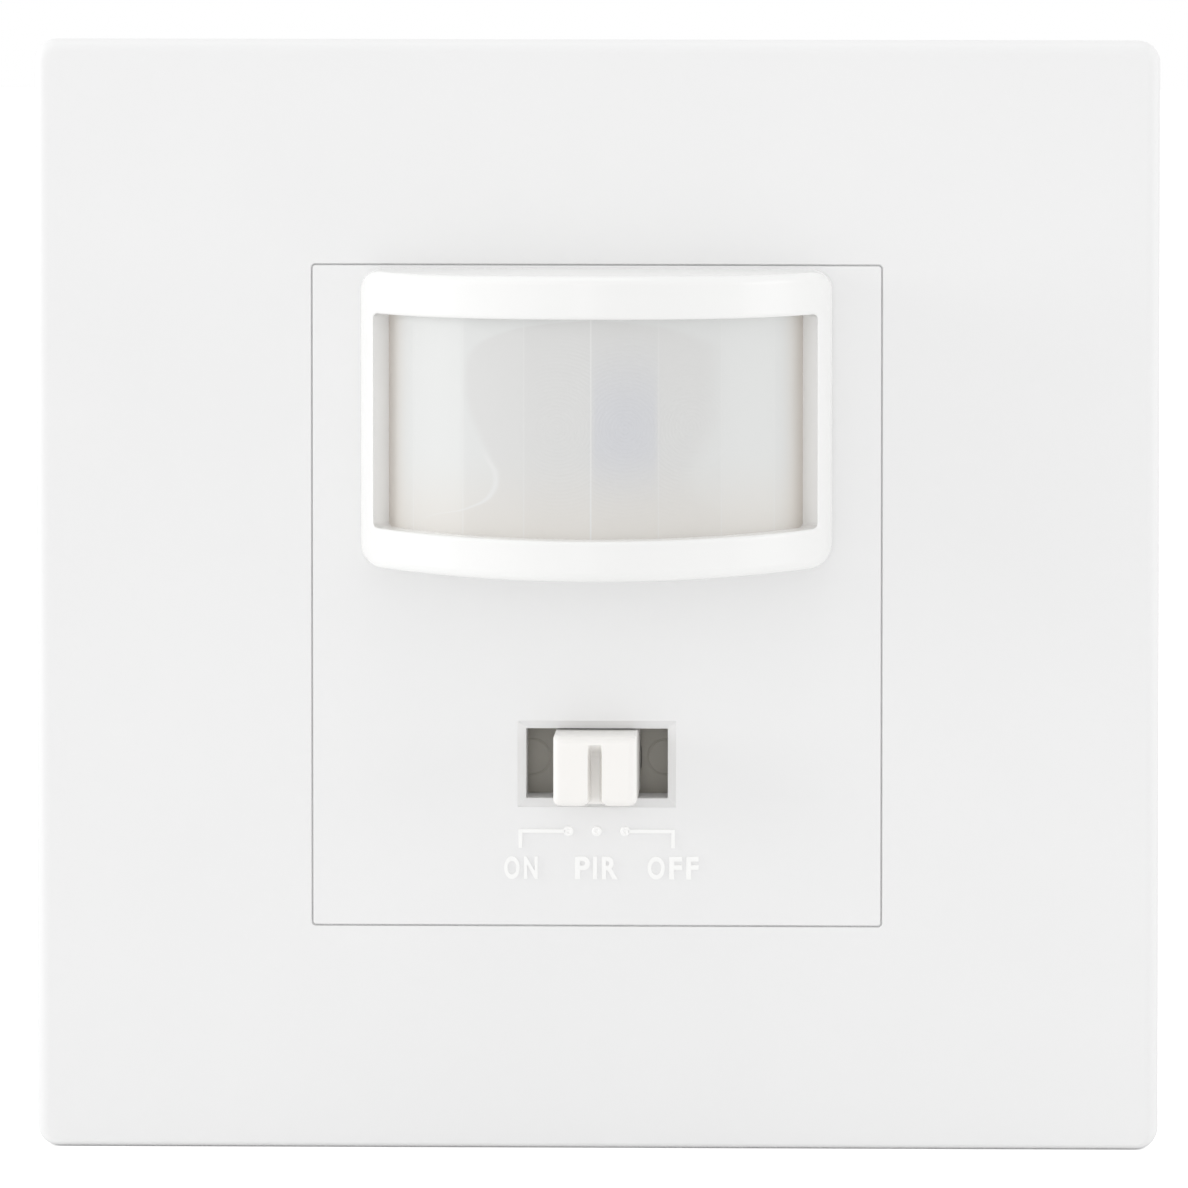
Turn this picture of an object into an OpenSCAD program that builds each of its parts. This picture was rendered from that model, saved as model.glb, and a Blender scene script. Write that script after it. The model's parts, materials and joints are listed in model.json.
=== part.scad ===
// Flush wall switch with a motion sensor: cover frame, front panel with a curved sensor hood,
// three-position selector, and the sensor, boards, relay and terminals behind them.
// +Z is up, the front faces -Y, and the wall's surface is the plane y = 0. The origin is
// the middle of the fixing slots. All lengths are millimetres.

/* [Cover frame] */
// Width of the cover frame
frame_w = 80.8; // [79:0.1:88]
// Height of the cover frame, as a share of the frame's width
frame_h_share = 0.990099; // [0.9777:0.001:1.0891]
// How far the frame's face stands off the wall
frame_depth = 9; // [8.6:0.1:11]
// Thickness of the frame's front wall and sides
frame_wall = 2; // [1.6:0.1:2.2]
// Corner radius of the frame, seen from the front, as a share of the frame's width
frame_corner_r_share = 0.019802; // [0.0149:0.0005:0.0495]
// Rounding of the frame's front edge
frame_edge_r = 0.7; // [0.3:0.1:1]

/* [Front panel] */
// Width of the front panel, as a share of the frame's width
panel_w_share = 0.506188; // [0.4988:0.001:0.5198]
// Height of the front panel, as a share of the frame's width
panel_h_share = 0.589109; // [0.5817:0.001:0.6064]
// Gap between the panel and the frame, on each side
panel_gap = 0.2; // [0.15:0.05:0.3]
// Thickness of the panel
panel_wall = 2; // [1.6:0.1:2.2]
// Corner radius of the panel
panel_corner_r = 0.5; // [0.3:0.1:1]

/* [Hood and lens] */
// Width of the hood, as a share of the frame's width
hood_w_share = 0.418316832; // [0.4084:0.001:0.4282]
// Height of the hood, as a share of the frame's width
hood_h_share = 0.264851485; // [0.2599:0.001:0.2698]
// Height of the hood's middle above the middle of the panel, as a share of the frame's width
hood_z_share = 0.159653465; // [0.1559:0.0005:0.1609]
// Radius of the hood's curved front, as a share of the frame's width
hood_r_share = 0.231435644; // [0.2277:0.001:0.2401]
// How far the hood stands proud of the panel, as a share of the frame's width
hood_reach_share = 0.154702970; // [0.1485:0.0005:0.1609]
// Wall thickness of the hood
hood_wall = 1.5; // [1.2:0.1:1.6]
// Corner radius of the hood, seen from the front
hood_corner_r = 1.5; // [1:0.1:2]
// Height of the window in the hood, as a share of the frame's width
window_h_share = 0.199257426; // [0.1918:0.0005:0.203]
// Angle from the middle of the window to its side, in degrees
window_angle = 59; // [56:0.5:60]
// Thickness of the lens sheet
lens_t = 0.5; // [0.4:0.05:0.7]

/* [Selector] */
// Width of the selector's slot, as a share of the frame's width
slot_w_share = 0.126238; // [0.1213:0.0005:0.1361]
// Height of the selector's slot, as a share of the frame's width
slot_h_share = 0.062500; // [0.0594:0.0005:0.0693]
// Height of the slot's middle above the middle of the panel, as a share of the frame's width
slot_z_share = -0.150371; // [-0.1559:0.0005:-0.146]
// Width of the slot's chamfered border
slot_bevel = 0.6; // [0.4:0.05:0.8]
// How far the selector moves each way from the middle
knob_travel = 2; // [1.8:0.05:2.1]
// How far the knob stands proud of the panel
knob_reach = 4.5; // [3.5:0.1:5]

/* [Wall fixing] */
// Distance between opposite fixing slots, as a share of the frame's width
fixing_pitch_share = 0.742574; // [0.7364:0.001:0.7488]
// Width of a fixing slot, as a share of the frame's width
fixing_slot_w_share = 0.050743; // [0.0446:0.0005:0.0545]
// Length of a fixing slot, as a share of the frame's width
fixing_slot_l_share = 0.086634; // [0.0743:0.0005:0.099]
// Width and height of the steel mounting frame, as a share of the frame's width
yoke_w_share = 0.878713; // [0.8663:0.001:0.8911]
// Thickness of the steel mounting frame
yoke_t = 1; // [0.8:0.05:1.1]

/* [Housing] */
// Width and height of the rear housing, as a share of the frame's width
housing_w_share = 0.519802; // [0.5149:0.001:0.5248]
// Depth of the rear housing behind the wall's surface
housing_depth = 30; // [29:0.5:36]
// Wall thickness of the rear housing
housing_wall = 1.8; // [1.6:0.1:1.9]
// Corner radius of the rear housing, as a share of the frame's width
housing_corner_r_share = 0.074257; // [0.0619:0.0005:0.0804]
// Width and height of the housing's flange, as a share of the frame's width
flange_w_share = 0.618812; // [0.6139:0.001:0.6312]
// Thickness of the flange
flange_t = 1.5; // [1.3:0.1:1.6]
// Thickness of the inner cover
cover_t = 1.6; // [1.4:0.1:1.7]

/* [Boards and relay] */
// Thickness of both circuit boards
board_t = 1.6; // [1.4:0.1:1.8]
// Height of the relay on the power board, as a share of the frame's width
relay_h_share = 0.153465; // [0.151:0.0005:0.1733]
// Radius of the sensor's metal can, as a share of the frame's width
can_r_share = 0.056312; // [0.0545:0.0005:0.0575]

/* [Terminals] */
// Distance between neighbouring terminals, as a share of the frame's width
pole_pitch_share = 0.092822; // [0.0903:0.0005:0.0941]
// Thread diameter of a terminal screw, as a share of the frame's width
screw_d_share = 0.037129; // [0.0347:0.0005:0.0384]
// Travel of a clamp cage
cage_travel = 2; // [1.5:0.1:2.1]
// Diameter of a wire's entry hole, as a share of the frame's width
wire_hole_d_share = 0.044554; // [0.0371:0.0005:0.047]

/* [Hidden] */
$fn = 64;

frame_white = [0.93, 0.93, 0.925];
panel_white = [0.94, 0.94, 0.94];
hood_white = [0.97, 0.97, 0.965];
lens_white = [0.86, 0.86, 0.85, 0.6];
housing_grey = [0.78, 0.79, 0.8];
steel = [0.72, 0.73, 0.75];
tin = [0.8, 0.8, 0.78];
brass = [0.78, 0.63, 0.32];
board_green = [0.1, 0.36, 0.2];
black = [0.1, 0.1, 0.11];
cell_orange = [0.75, 0.35, 0.2];
trimmer_blue = [0.15, 0.3, 0.6];
relay_blue = [0.16, 0.28, 0.55];
copper = [0.72, 0.36, 0.16];
film_yellow = [0.85, 0.75, 0.25];
sleeve_dark = [0.12, 0.14, 0.2];
varistor_blue = [0.1, 0.3, 0.65];
ceramic_white = [0.85, 0.87, 0.88];
coat_blue = [0.55, 0.7, 0.75];
terminal_grey = [0.2, 0.22, 0.24];

// One overrun for every cut, and the small clearances that several fits share
over = 1;
snug = 0.05;
slide_gap = 0.1;
seat_gap = 0.2;
air_gap = 0.3;

// Sizes that follow the frame's width
frame_h = frame_h_share * frame_w;
frame_corner_r = frame_corner_r_share * frame_w;
panel_w = panel_w_share * frame_w;
panel_h = panel_h_share * frame_w;
hood_w = hood_w_share * frame_w;
hood_h = hood_h_share * frame_w;
hood_z = hood_z_share * frame_w;
hood_r = hood_r_share * frame_w;
hood_reach = hood_reach_share * frame_w;
window_h = window_h_share * frame_w;
slot_w = slot_w_share * frame_w;
slot_h = slot_h_share * frame_w;
slot_z = slot_z_share * frame_w;
fixing_pitch = fixing_pitch_share * frame_w;
fixing_slot_w = fixing_slot_w_share * frame_w;
fixing_slot_l = fixing_slot_l_share * frame_w;
yoke_w = yoke_w_share * frame_w;
housing_w = housing_w_share * frame_w;
housing_corner_r = housing_corner_r_share * frame_w;
flange_w = flange_w_share * frame_w;
relay_h = relay_h_share * frame_w;
can_r = can_r_share * frame_w;
pole_pitch = pole_pitch_share * frame_w;
screw_d = screw_d_share * frame_w;
wire_hole_d = wire_hole_d_share * frame_w;

// Depth levels, front to back
wall_y = 0;
face_y = -frame_depth;
panel_back_y = face_y + panel_wall;
yoke_front_y = -yoke_t;
flange_front_y = yoke_front_y - flange_t;
cover_front_y = flange_front_y - cover_t;
post_h = 3.1;
control_front_y = flange_front_y + post_h;
control_back_y = control_front_y + board_t;
housing_back_y = housing_depth;
housing_floor_y = housing_back_y - housing_wall;
relay_gap = 1.2;
power_back_y = housing_floor_y - relay_h - relay_gap;
power_front_y = power_back_y - board_t;

// Cover frame
// As shares of the frame's width, in the order of the sizes that take them
cover_frame_shares = [
    0.017327, 0.371287, 0.272277
];
opening_w = panel_w + 2 * panel_gap;
opening_h = panel_h + 2 * panel_gap;
opening_corner_r = panel_corner_r + panel_gap;
frame_inner_r = 1;
collar_wall = 1.2;
collar_back_y = cover_front_y - cover_t / 2;
post_r = cover_frame_shares[0] * frame_w;
post_x = cover_frame_shares[1] * frame_w;
post_z = cover_frame_shares[2] * frame_w;

// Front panel
// As shares of the frame's width, in the order of the sizes that take them
front_panel_shares = [
    0.016089, 0.222772, 0.254950, 0.351485, 0.217822, 0.002723, 0.068069, 0.014851, 0.060025, 0.003713
];
skirt_wall = 1.2;
skirt_back_y = cover_front_y - air_gap - panel_gap;
peg_r = front_panel_shares[0] * frame_w;
peg_x = front_panel_shares[1] * frame_w;
peg_z = front_panel_shares[2] * frame_w;
peg_back_y = flange_front_y - seat_gap;
sight_w = front_panel_shares[3] * frame_w;
sight_h = front_panel_shares[4] * frame_w;
chute_wall = 0.9;
chute_back_y = cover_front_y - air_gap;
mark_h = 0.12;
mark_stroke = front_panel_shares[5] * frame_w;
mark_x = front_panel_shares[6] * frame_w;
mark_drop = front_panel_shares[7] * frame_w;
mark_below_slot = front_panel_shares[8] * frame_w;
dot_r = front_panel_shares[9] * frame_w;
mark_z = slot_z - mark_below_slot;

// Hood, lens and retainer share one vertical axis
// As shares of the frame's width, in the order of the sizes that take them
hood_shares = [
    0.123762
];
hood_axis_y = face_y - hood_reach + hood_r;
cavity_r = hood_r - hood_wall;
cavity_h = hood_h - 2 * hood_wall + seat_gap;
lens_r = cavity_r - slide_gap;
lens_h = cavity_h - 2 * seat_gap;
retainer_t = 0.8;
retainer_r = lens_r - lens_t - slide_gap;
tab_t = 0.8;
tab_h = hood_shares[0] * frame_w;
tab_root = 0.9;
tab_hook = 0.4;
tab_back_y = panel_back_y + tab_hook;
tab_inset = 0.1;

// Selector
// As shares of the frame's width, in the order of the sizes that take them
selector_shares = [
    0.009901, 0.008663, 0.013614, 0.155941, 0.081683, 0.037129, 0.029703, 0.064356, 0.054455, 0.024752,
    0.004332, 0.037129
];
knob_gap = 0.1;
knob_w = slot_w - 2 * knob_travel - 2 * knob_gap;
knob_h = slot_h - 2 * knob_gap;
knob_front_y = face_y - knob_reach;
knob_groove_w = selector_shares[0] * frame_w;
knob_groove_d = 1.2;
knob_band_h = selector_shares[1] * frame_w;
knob_band_d = 0.9;
lobe_r = selector_shares[2] * frame_w;
switch_h = 4.2;
switch_w = selector_shares[3] * frame_w;
switch_z = selector_shares[4] * frame_w;
switch_front_y = control_front_y - switch_h;
knob_back_y = switch_front_y - air_gap;
shell_t = 0.3;
stem_w = selector_shares[5] * frame_w;
stem_h = selector_shares[6] * frame_w;
stem_l = 5;
slider_w = selector_shares[7] * frame_w;
slider_t = 1.5;
wiper_t = 0.5;
wiper_w = selector_shares[8] * frame_w;
wiper_h = selector_shares[9] * frame_w;
slider_front_y = switch_front_y + shell_t + slide_gap;
slider_back_y = slider_front_y + slider_t;
stem_front_y = slider_front_y - stem_l;
wiper_front_y = slider_back_y + snug;
base_front_y = wiper_front_y + wiper_t + slide_gap;
pin_r = selector_shares[10] * frame_w;
pin_pitch = selector_shares[11] * frame_w;
pin_out = 0.95;
pin_back_y = control_back_y + pin_out;

// Wall fixing
// As shares of the frame's width, in the order of the sizes that take them
wall_fixing_shares = [
    0.037129, 0.011757, 0.021040
];
yoke_corner_r = wall_fixing_shares[0] * frame_w;
housing_clear = 0.3;
recess_arm_share = 0.143;
small_screw_r = wall_fixing_shares[1] * frame_w;
small_head_r = wall_fixing_shares[2] * frame_w;
small_head_h = 1;
flange_screw_at = flange_w / 2 - small_head_r;

// Housing
// As shares of the frame's width, in the order of the sizes that take them
housing_shares = [
    0.028465, 0.011139, 0.022277, 0.049505, 0.532178, 0.582921, 0.049505, 0.014851, 0.204208, 0.049505
];
housing_in = housing_w - 2 * housing_wall;
housing_in_r = housing_corner_r - housing_wall;
boss_r = housing_shares[0] * frame_w;
boss_at = housing_in / 2 - boss_r;
pilot_r = housing_shares[1] * frame_w;
pilot_depth = 9;
cover_screw_r = pilot_r - snug;
cover_screw_l = 7;
cover_head_r = housing_shares[2] * frame_w;
cover_head_h = 1.2;
rib_t = 1.4;
rib_w = housing_shares[3] * frame_w;
cover_w = housing_shares[4] * frame_w;
cover_h = housing_shares[5] * frame_w;
cover_corner_r = housing_shares[6] * frame_w;
post_support_r = housing_shares[7] * frame_w;
post_support_x = housing_shares[8] * frame_w;
post_support_z = housing_shares[9] * frame_w;

// Boards
// As shares of the frame's width, in the order of the sizes that take them
boards_shares = [
    0.031436, 0.029703, 0.003960
];
board_w = housing_in - 2 * seat_gap;
board_arm = 2 * (boss_at - boss_r - air_gap);
power_w = housing_in - 2 * rib_t - 2 * seat_gap;
header_n = 5;
header_pitch = boards_shares[0] * frame_w;
header_t = boards_shares[1] * frame_w;
header_pin_r = boards_shares[2] * frame_w;

// Sensor
// As shares of the frame's width, in the order of the sizes that take them
sensor_shares = [
    0.049505, 0.037129, 0.061881, 0.002847, 0.031436, 0.105198, 0.069307, 0.030941, -0.153465,
    0.014851
];
can_stand = 5.8;
can_front_y = control_front_y - can_stand;
can_h = 4.2;
can_base_t = 0.4;
can_back_y = can_front_y + can_h + can_base_t;
can_z = hood_z;
can_wall = 0.3;
can_rim = 0.15;
can_flange_r = can_r + can_rim;
sensor_port_w = sensor_shares[0] * frame_w;
sensor_port_h = sensor_shares[1] * frame_w;
window_t = 0.3;
holder_r = sensor_shares[2] * frame_w;
lead_r = sensor_shares[3] * frame_w;
lead_circle_r = sensor_shares[4] * frame_w;
shroud_out_r = sensor_shares[5] * frame_w;
shroud_wall = 1;
shroud_lip = 0.5;
shroud_back_r = sensor_shares[6] * frame_w;
shroud_inset = 0.6;
shroud_front_y = face_y + shroud_inset;
ldr_r = sensor_shares[7] * frame_w;
ldr_x = sensor_shares[8] * frame_w;
ldr_t = 2;
ldr_leg_x = sensor_shares[9] * frame_w;

// Trimmers
// As shares of the frame's width, in the order of the sizes that take them
trimmers_shares = [
    0.153465, 0.040223, 0.024134, 0.008663, 0.022277
];
trimmer_x = trimmers_shares[0] * frame_w;
trimmer_r = trimmers_shares[1] * frame_w;
trimmer_h = 4;
rotor_r = trimmers_shares[2] * frame_w;
rotor_h = 4.6;
rotor_socket = 1.4;
rotor_back_y = control_front_y - rotor_socket;
rotor_front_y = rotor_back_y - rotor_h;
rotor_slot_w = trimmers_shares[3] * frame_w;
rotor_slot_d = 0.8;
trimmer_leg_x = trimmers_shares[4] * frame_w;

// Chip
// As shares of the frame's width, in the order of the sizes that take them
chip_shares = [
    0.074257, 0.123762, 0.136139
];
chip_w = chip_shares[0] * frame_w;
chip_h = chip_shares[1] * frame_w;
chip_t = 1.6;
chip_x = chip_shares[2] * frame_w;
chip_corner_r = 0.3;

// Relay, lying along X at the top of the power board
// As shares of the frame's width, in the order of the sizes that take them
relay_shares = [
    0.222772, 0.123762, 0.148515, 0.038366, 0.051980, 0.021040, 0.016089, 0.061881, 0.106436, 0.064356,
    0.021040, 0.099010, 0.049505, 0.009901
];
relay_w = relay_shares[0] * frame_w;
relay_d = relay_shares[1] * frame_w;
relay_z = relay_shares[2] * frame_w;
relay_wall = 0.5;
relay_base_t = 1.4;
relay_corner_r = 0.6;
coil_r = relay_shares[3] * frame_w;
coil_flange_r = relay_shares[4] * frame_w;
coil_flange_t = 0.7;
coil_x1 = relay_shares[5] * frame_w;
core_r = relay_shares[6] * frame_w;
core_out = 0.5;
coil_y = power_back_y + relay_base_t + coil_flange_r + slide_gap;
iron_t = 1;
iron_d = relay_shares[7] * frame_w;
iron_y = coil_y + coil_flange_r + seat_gap;
pole_gap = 0.35;
armature_t = 0.8;
coil_x0 = relay_wall + seat_gap + armature_t + core_out - relay_w / 2;
armature_x = coil_x1 + core_out + pole_gap;
armature_back_y = iron_y + iron_t;
armature_l = relay_shares[8] * frame_w;
contact_t = 0.3;
contact_x = relay_shares[9] * frame_w;
contact_step = relay_shares[10] * frame_w;
contact_l = relay_shares[11] * frame_w;
contact_w = relay_shares[12] * frame_w;
contact_dot_r = relay_shares[13] * frame_w;
contact_dot_t = 0.4;

// Parts beside the relay
// As shares of the frame's width, in the order of the sizes that take them
side_part_shares = [
    0.160891, 0.074257, -0.128713, 0.039604, 0.038985, 0.044554, 0.091584, 0.029703, 0.049505,
    0.039604, -0.150990, -0.056931, 0.019802, 0.111386, -0.019802, -0.066832, 0.022277, 0.021658,
    0.016089, 0.054455, 0.111386, 0.044554, 0.021040, 0.099010, 0.131188, -0.064356, 0.004950
];
film_below_relay = 1;
lytic_below_relay = 0.9;
film_w = side_part_shares[0] * frame_w;
film_d = side_part_shares[1] * frame_w;
film_h = relay_h - film_below_relay;
film_x = side_part_shares[2] * frame_w;
film_z = side_part_shares[3] * frame_w;
film_corner_r = 0.6;
lytic_r = side_part_shares[4] * frame_w;
lytic_h = relay_h - lytic_below_relay;
lytic_x = side_part_shares[5] * frame_w;
lytic_step = side_part_shares[6] * frame_w;
lytic_z = side_part_shares[7] * frame_w;
lytic_groove = 0.35;
varistor_r = side_part_shares[8] * frame_w;
varistor_t = side_part_shares[9] * frame_w;
varistor_x = side_part_shares[10] * frame_w;
varistor_z = side_part_shares[11] * frame_w;
fuse_r = side_part_shares[12] * frame_w;
fuse_l = side_part_shares[13] * frame_w;
fuse_x = side_part_shares[14] * frame_w;
fuse_z = side_part_shares[15] * frame_w;
fuse_cap_l = side_part_shares[16] * frame_w;
fuse_cap_r = side_part_shares[17] * frame_w;
diode_r = side_part_shares[18] * frame_w;
diode_l = side_part_shares[19] * frame_w;
diode_x = side_part_shares[20] * frame_w;
diode_pitch = side_part_shares[21] * frame_w;
resistor_r = side_part_shares[22] * frame_w;
resistor_l = side_part_shares[23] * frame_w;
resistor_x = side_part_shares[24] * frame_w;
resistor_z = side_part_shares[25] * frame_w;
axial_wire_r = side_part_shares[26] * frame_w;

// Terminals: the block stands flush with the housing's back and underside
// As shares of the frame's width, in the order of the sizes that take them
terminals_shares = [
    0.136139, 0.025990, 0.023515, 0.009901, 0.071782, 0.061881, 0.019802
];
block_w = 3 * pole_pitch;
block_h = terminals_shares[0] * frame_w;
block_z0 = -housing_w / 2;
block_z1 = block_z0 + block_h;
access_r = terminals_shares[1] * frame_w;
head_r = terminals_shares[2] * frame_w;
head_h = 1.5;
head_sink = 0.45;
head_slot_w = terminals_shares[3] * frame_w;
head_slot_d = 0.9;
ledge_t = 0.6;
head_back_y = housing_back_y - head_sink;
head_front_y = head_back_y - head_h;
ledge_back_y = head_front_y - snug;
ledge_front_y = ledge_back_y - ledge_t;
cage_wall = 0.9;
cage_w = terminals_shares[4] * frame_w;
cage_l = terminals_shares[5] * frame_w;
cage_h = 8;
cage_end_gap = 0.2;
cage_back_y = ledge_front_y - cage_travel - cage_end_gap;
cage_front_y = cage_back_y - cage_h;
pocket_w = cage_w + 2 * seat_gap;
block_floor = 2.4;
pocket_z0 = block_z0 + block_floor;
cage_z0 = pocket_z0 + seat_gap;
cage_z1 = cage_z0 + cage_l;
screw_z = (cage_z0 + cage_z1) / 2;
bar_t = 0.8;
bar_w = cage_w - 2 * cage_wall - 2 * seat_gap;
bar_drop = 1.5;
bar_back_y = cage_back_y - cage_wall - bar_drop;
bar_front_y = bar_back_y - bar_t;
leg_z0 = cage_z1 + seat_gap;
leg_z1 = leg_z0 + bar_t;
leg_w = terminals_shares[6] * frame_w;
pocket_z1 = leg_z1 + seat_gap;
wire_y = (cage_front_y + cage_wall + bar_front_y) / 2;

// Draws its outline, given in x and z, from depth y0 to depth y1
module slab(y0, y1) {
    translate([0, y1, 0]) rotate([90, 0, 0]) linear_extrude(height = y1 - y0) children();
}

// Draws its outline, given in x and y, from height z0 to height z1
module upright(z0, z1) {
    translate([0, 0, z0]) linear_extrude(height = z1 - z0) children();
}

// Draws its outline, given in y and z, from x0 to x1
module across(x0, x1) {
    translate([x0, 0, 0]) rotate([90, 0, 90]) linear_extrude(height = x1 - x0) children();
}

// A round rod along the depth, at x and z
module rod(x, z, y0, y1, r) {
    translate([x, y1, z]) rotate([90, 0, 0]) cylinder(h = y1 - y0, r = r);
}

// A box from one corner to the other
module box(x0, x1, y0, y1, z0, z1) {
    translate([x0, y0, z0]) cube([x1 - x0, y1 - y0, z1 - z0]);
}

module rounded(w, h, r) {
    square([w, h - 2 * r], center = true);
    square([w - 2 * r, h], center = true);
    for (sx = [-1, 1], sz = [-1, 1])
        translate([sx * (w / 2 - r), sz * (h / 2 - r)]) circle(r);
}

// A slot with round ends, lying along x
module slot_shape(l, w) {
    square([l - w, w], center = true);
    for (s = [-1, 1]) translate([s * (l - w) / 2, 0]) circle(w / 2);
}

// A strip of half width w from depth y0 back to y1, its two front corners rounded by r
module front_rounded(w, y0, y1, r) {
    translate([-w, y0 + r]) square([2 * w, y1 - y0 - r]);
    translate([r - w, y0]) square([2 * (w - r), y1 - y0]);
    for (s = [-1, 1]) translate([s * (w - r), y0 + r]) circle(r);
}

// Four copies, mirrored about the middle
module corners(dx, dz) {
    for (sx = [-1, 1], sz = [-1, 1]) translate([sx * dx, 0, sz * dz]) children();
}

module outer_frame() {
    color(frame_white) difference() {
        union() {
            difference() {
                intersection() {
                    slab(face_y, wall_y) rounded(frame_w, frame_h, frame_corner_r);
                    upright(-frame_h, frame_h)
                        front_rounded(frame_w / 2, face_y, wall_y + over, frame_edge_r);
                    across(-frame_w, frame_w) rotate(90) mirror([0, 1])
                        front_rounded(frame_h / 2, face_y, wall_y + over, frame_edge_r);
                }
                slab(face_y + frame_wall, wall_y + over)
                    rounded(frame_w - 2 * frame_wall, frame_h - 2 * frame_wall, frame_inner_r);
            }
            slab(face_y + frame_wall / 2, collar_back_y)
                rounded(opening_w + 2 * collar_wall, opening_h + 2 * collar_wall,
                    opening_corner_r + collar_wall);
            corners(post_x, post_z) rod(0, 0, face_y + frame_wall / 2, wall_y - slide_gap, post_r);
        }
        slab(face_y - over, wall_y + over) rounded(opening_w, opening_h, opening_corner_r);
    }
}

module mounting_frame() {
    color(steel) difference() {
        slab(yoke_front_y, wall_y) rounded(yoke_w, yoke_w, yoke_corner_r);
        slab(yoke_front_y - over, wall_y + over)
            rounded(housing_w + 2 * housing_clear, housing_w + 2 * housing_clear, housing_corner_r);
        slab(yoke_front_y - over, wall_y + over) for (s = [-1, 1]) {
            translate([s * fixing_pitch / 2, 0]) slot_shape(fixing_slot_l, fixing_slot_w);
            translate([0, s * fixing_pitch / 2]) rotate(90) slot_shape(fixing_slot_l, fixing_slot_w);
        }
        corners(post_x, post_z) rod(0, 0, yoke_front_y - over, wall_y + over, post_r + slide_gap);
        corners(flange_screw_at, flange_screw_at)
            rod(0, 0, yoke_front_y - over, wall_y + over, small_screw_r + snug);
    }
}

module frame_screws() {
    color(steel) corners(flange_screw_at, flange_screw_at) difference() {
        union() {
            rod(0, 0, flange_front_y - small_head_h, flange_front_y, small_head_r);
            rod(0, 0, flange_front_y - small_head_h / 2, wall_y - snug, small_screw_r);
        }
        cross_recess(flange_front_y - small_head_h, small_head_r, small_head_h / 2);
    }
}

module cross_recess(y0, r, d) {
    arm = r * recess_arm_share;
    for (a = [0, 90]) rotate([0, a, 0]) box(-r / 2, r / 2, y0 - over, y0 + d, -arm, arm);
}

module rear_housing() {
    color(housing_grey) difference() {
        union() {
            difference() {
                union() {
                    slab(flange_front_y, yoke_front_y) rounded(flange_w, flange_w, yoke_corner_r);
                    slab(flange_front_y, housing_back_y) rounded(housing_w, housing_w, housing_corner_r);
                }
                slab(flange_front_y - over, housing_floor_y) rounded(housing_in, housing_in, housing_in_r);
            }
            corners(boss_at, boss_at)
                rod(0, 0, flange_front_y, housing_floor_y + housing_wall / 2, boss_r);
            for (s = [-1, 1]) translate([s * (housing_in / 2 - rib_t / 2 + snug), 0, 0])
                box(-rib_t / 2 - snug, rib_t / 2 + snug, control_back_y, housing_floor_y + housing_wall / 2,
                    -rib_w / 2, rib_w / 2);
            box(-rib_w / 2, rib_w / 2, power_back_y, housing_floor_y + housing_wall / 2,
                housing_in / 2 - rib_t, housing_in / 2 + housing_wall / 2);
        }
        box(-block_w / 2 - slide_gap, block_w / 2 + slide_gap, power_back_y - seat_gap, housing_back_y + over,
            block_z0 - over, block_z1 + slide_gap);
        corners(boss_at, boss_at) rod(0, 0, flange_front_y - over, flange_front_y + pilot_depth, pilot_r);
        corners(flange_screw_at, flange_screw_at)
            rod(0, 0, flange_front_y - over, wall_y + over, small_screw_r + snug);
    }
}

module inner_cover() {
    color(housing_grey) difference() {
        union() {
            slab(cover_front_y, flange_front_y) rounded(cover_w, cover_h, cover_corner_r);
            corners(post_support_x, post_support_z)
                rod(0, 0, cover_front_y + cover_t / 2, control_front_y, post_support_r);
        }
        corners(peg_x, peg_z) rod(0, 0, cover_front_y - over, flange_front_y + over, peg_r + slide_gap);
        corners(boss_at, boss_at)
            rod(0, 0, cover_front_y - over, flange_front_y + over, cover_screw_r + seat_gap);
        rod(0, can_z, cover_front_y - over, flange_front_y + over, can_r + seat_gap);
        rod(ldr_x, can_z, cover_front_y - over, flange_front_y + over, ldr_r + seat_gap);
        for (s = [-1, 1])
            rod(s * trimmer_x, slot_z, cover_front_y - over, flange_front_y + over, trimmer_r + seat_gap);
        box(-switch_w / 2 - seat_gap, switch_w / 2 + seat_gap, cover_front_y - over, flange_front_y + over,
            slot_z - switch_z / 2 - seat_gap, slot_z + switch_z / 2 + seat_gap);
    }
}

module cover_screws() {
    color(steel) corners(boss_at, boss_at) difference() {
        union() {
            rod(0, 0, cover_front_y - cover_head_h, cover_front_y, cover_head_r);
            rod(0, 0, cover_front_y - cover_head_h / 2, flange_front_y + cover_screw_l, cover_screw_r);
        }
        cross_recess(cover_front_y - cover_head_h, cover_head_r, cover_head_h / 2);
    }
}

// The slot's border widens towards the front at 45 degrees
module slot_funnel() {
    intersection() {
        upright(slot_z - slot_h - over, slot_z + slot_h + over) polygon(funnel_outline(slot_w / 2));
        translate([0, 0, slot_z]) across(-slot_w, slot_w) rotate(90) mirror([0, 1])
            polygon(funnel_outline(slot_h / 2));
    }
}

function funnel_outline(half) = [
    [-half - slot_bevel - over, face_y - over], [half + slot_bevel + over, face_y - over],
    [half, face_y + slot_bevel], [-half, face_y + slot_bevel]
];

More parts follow.
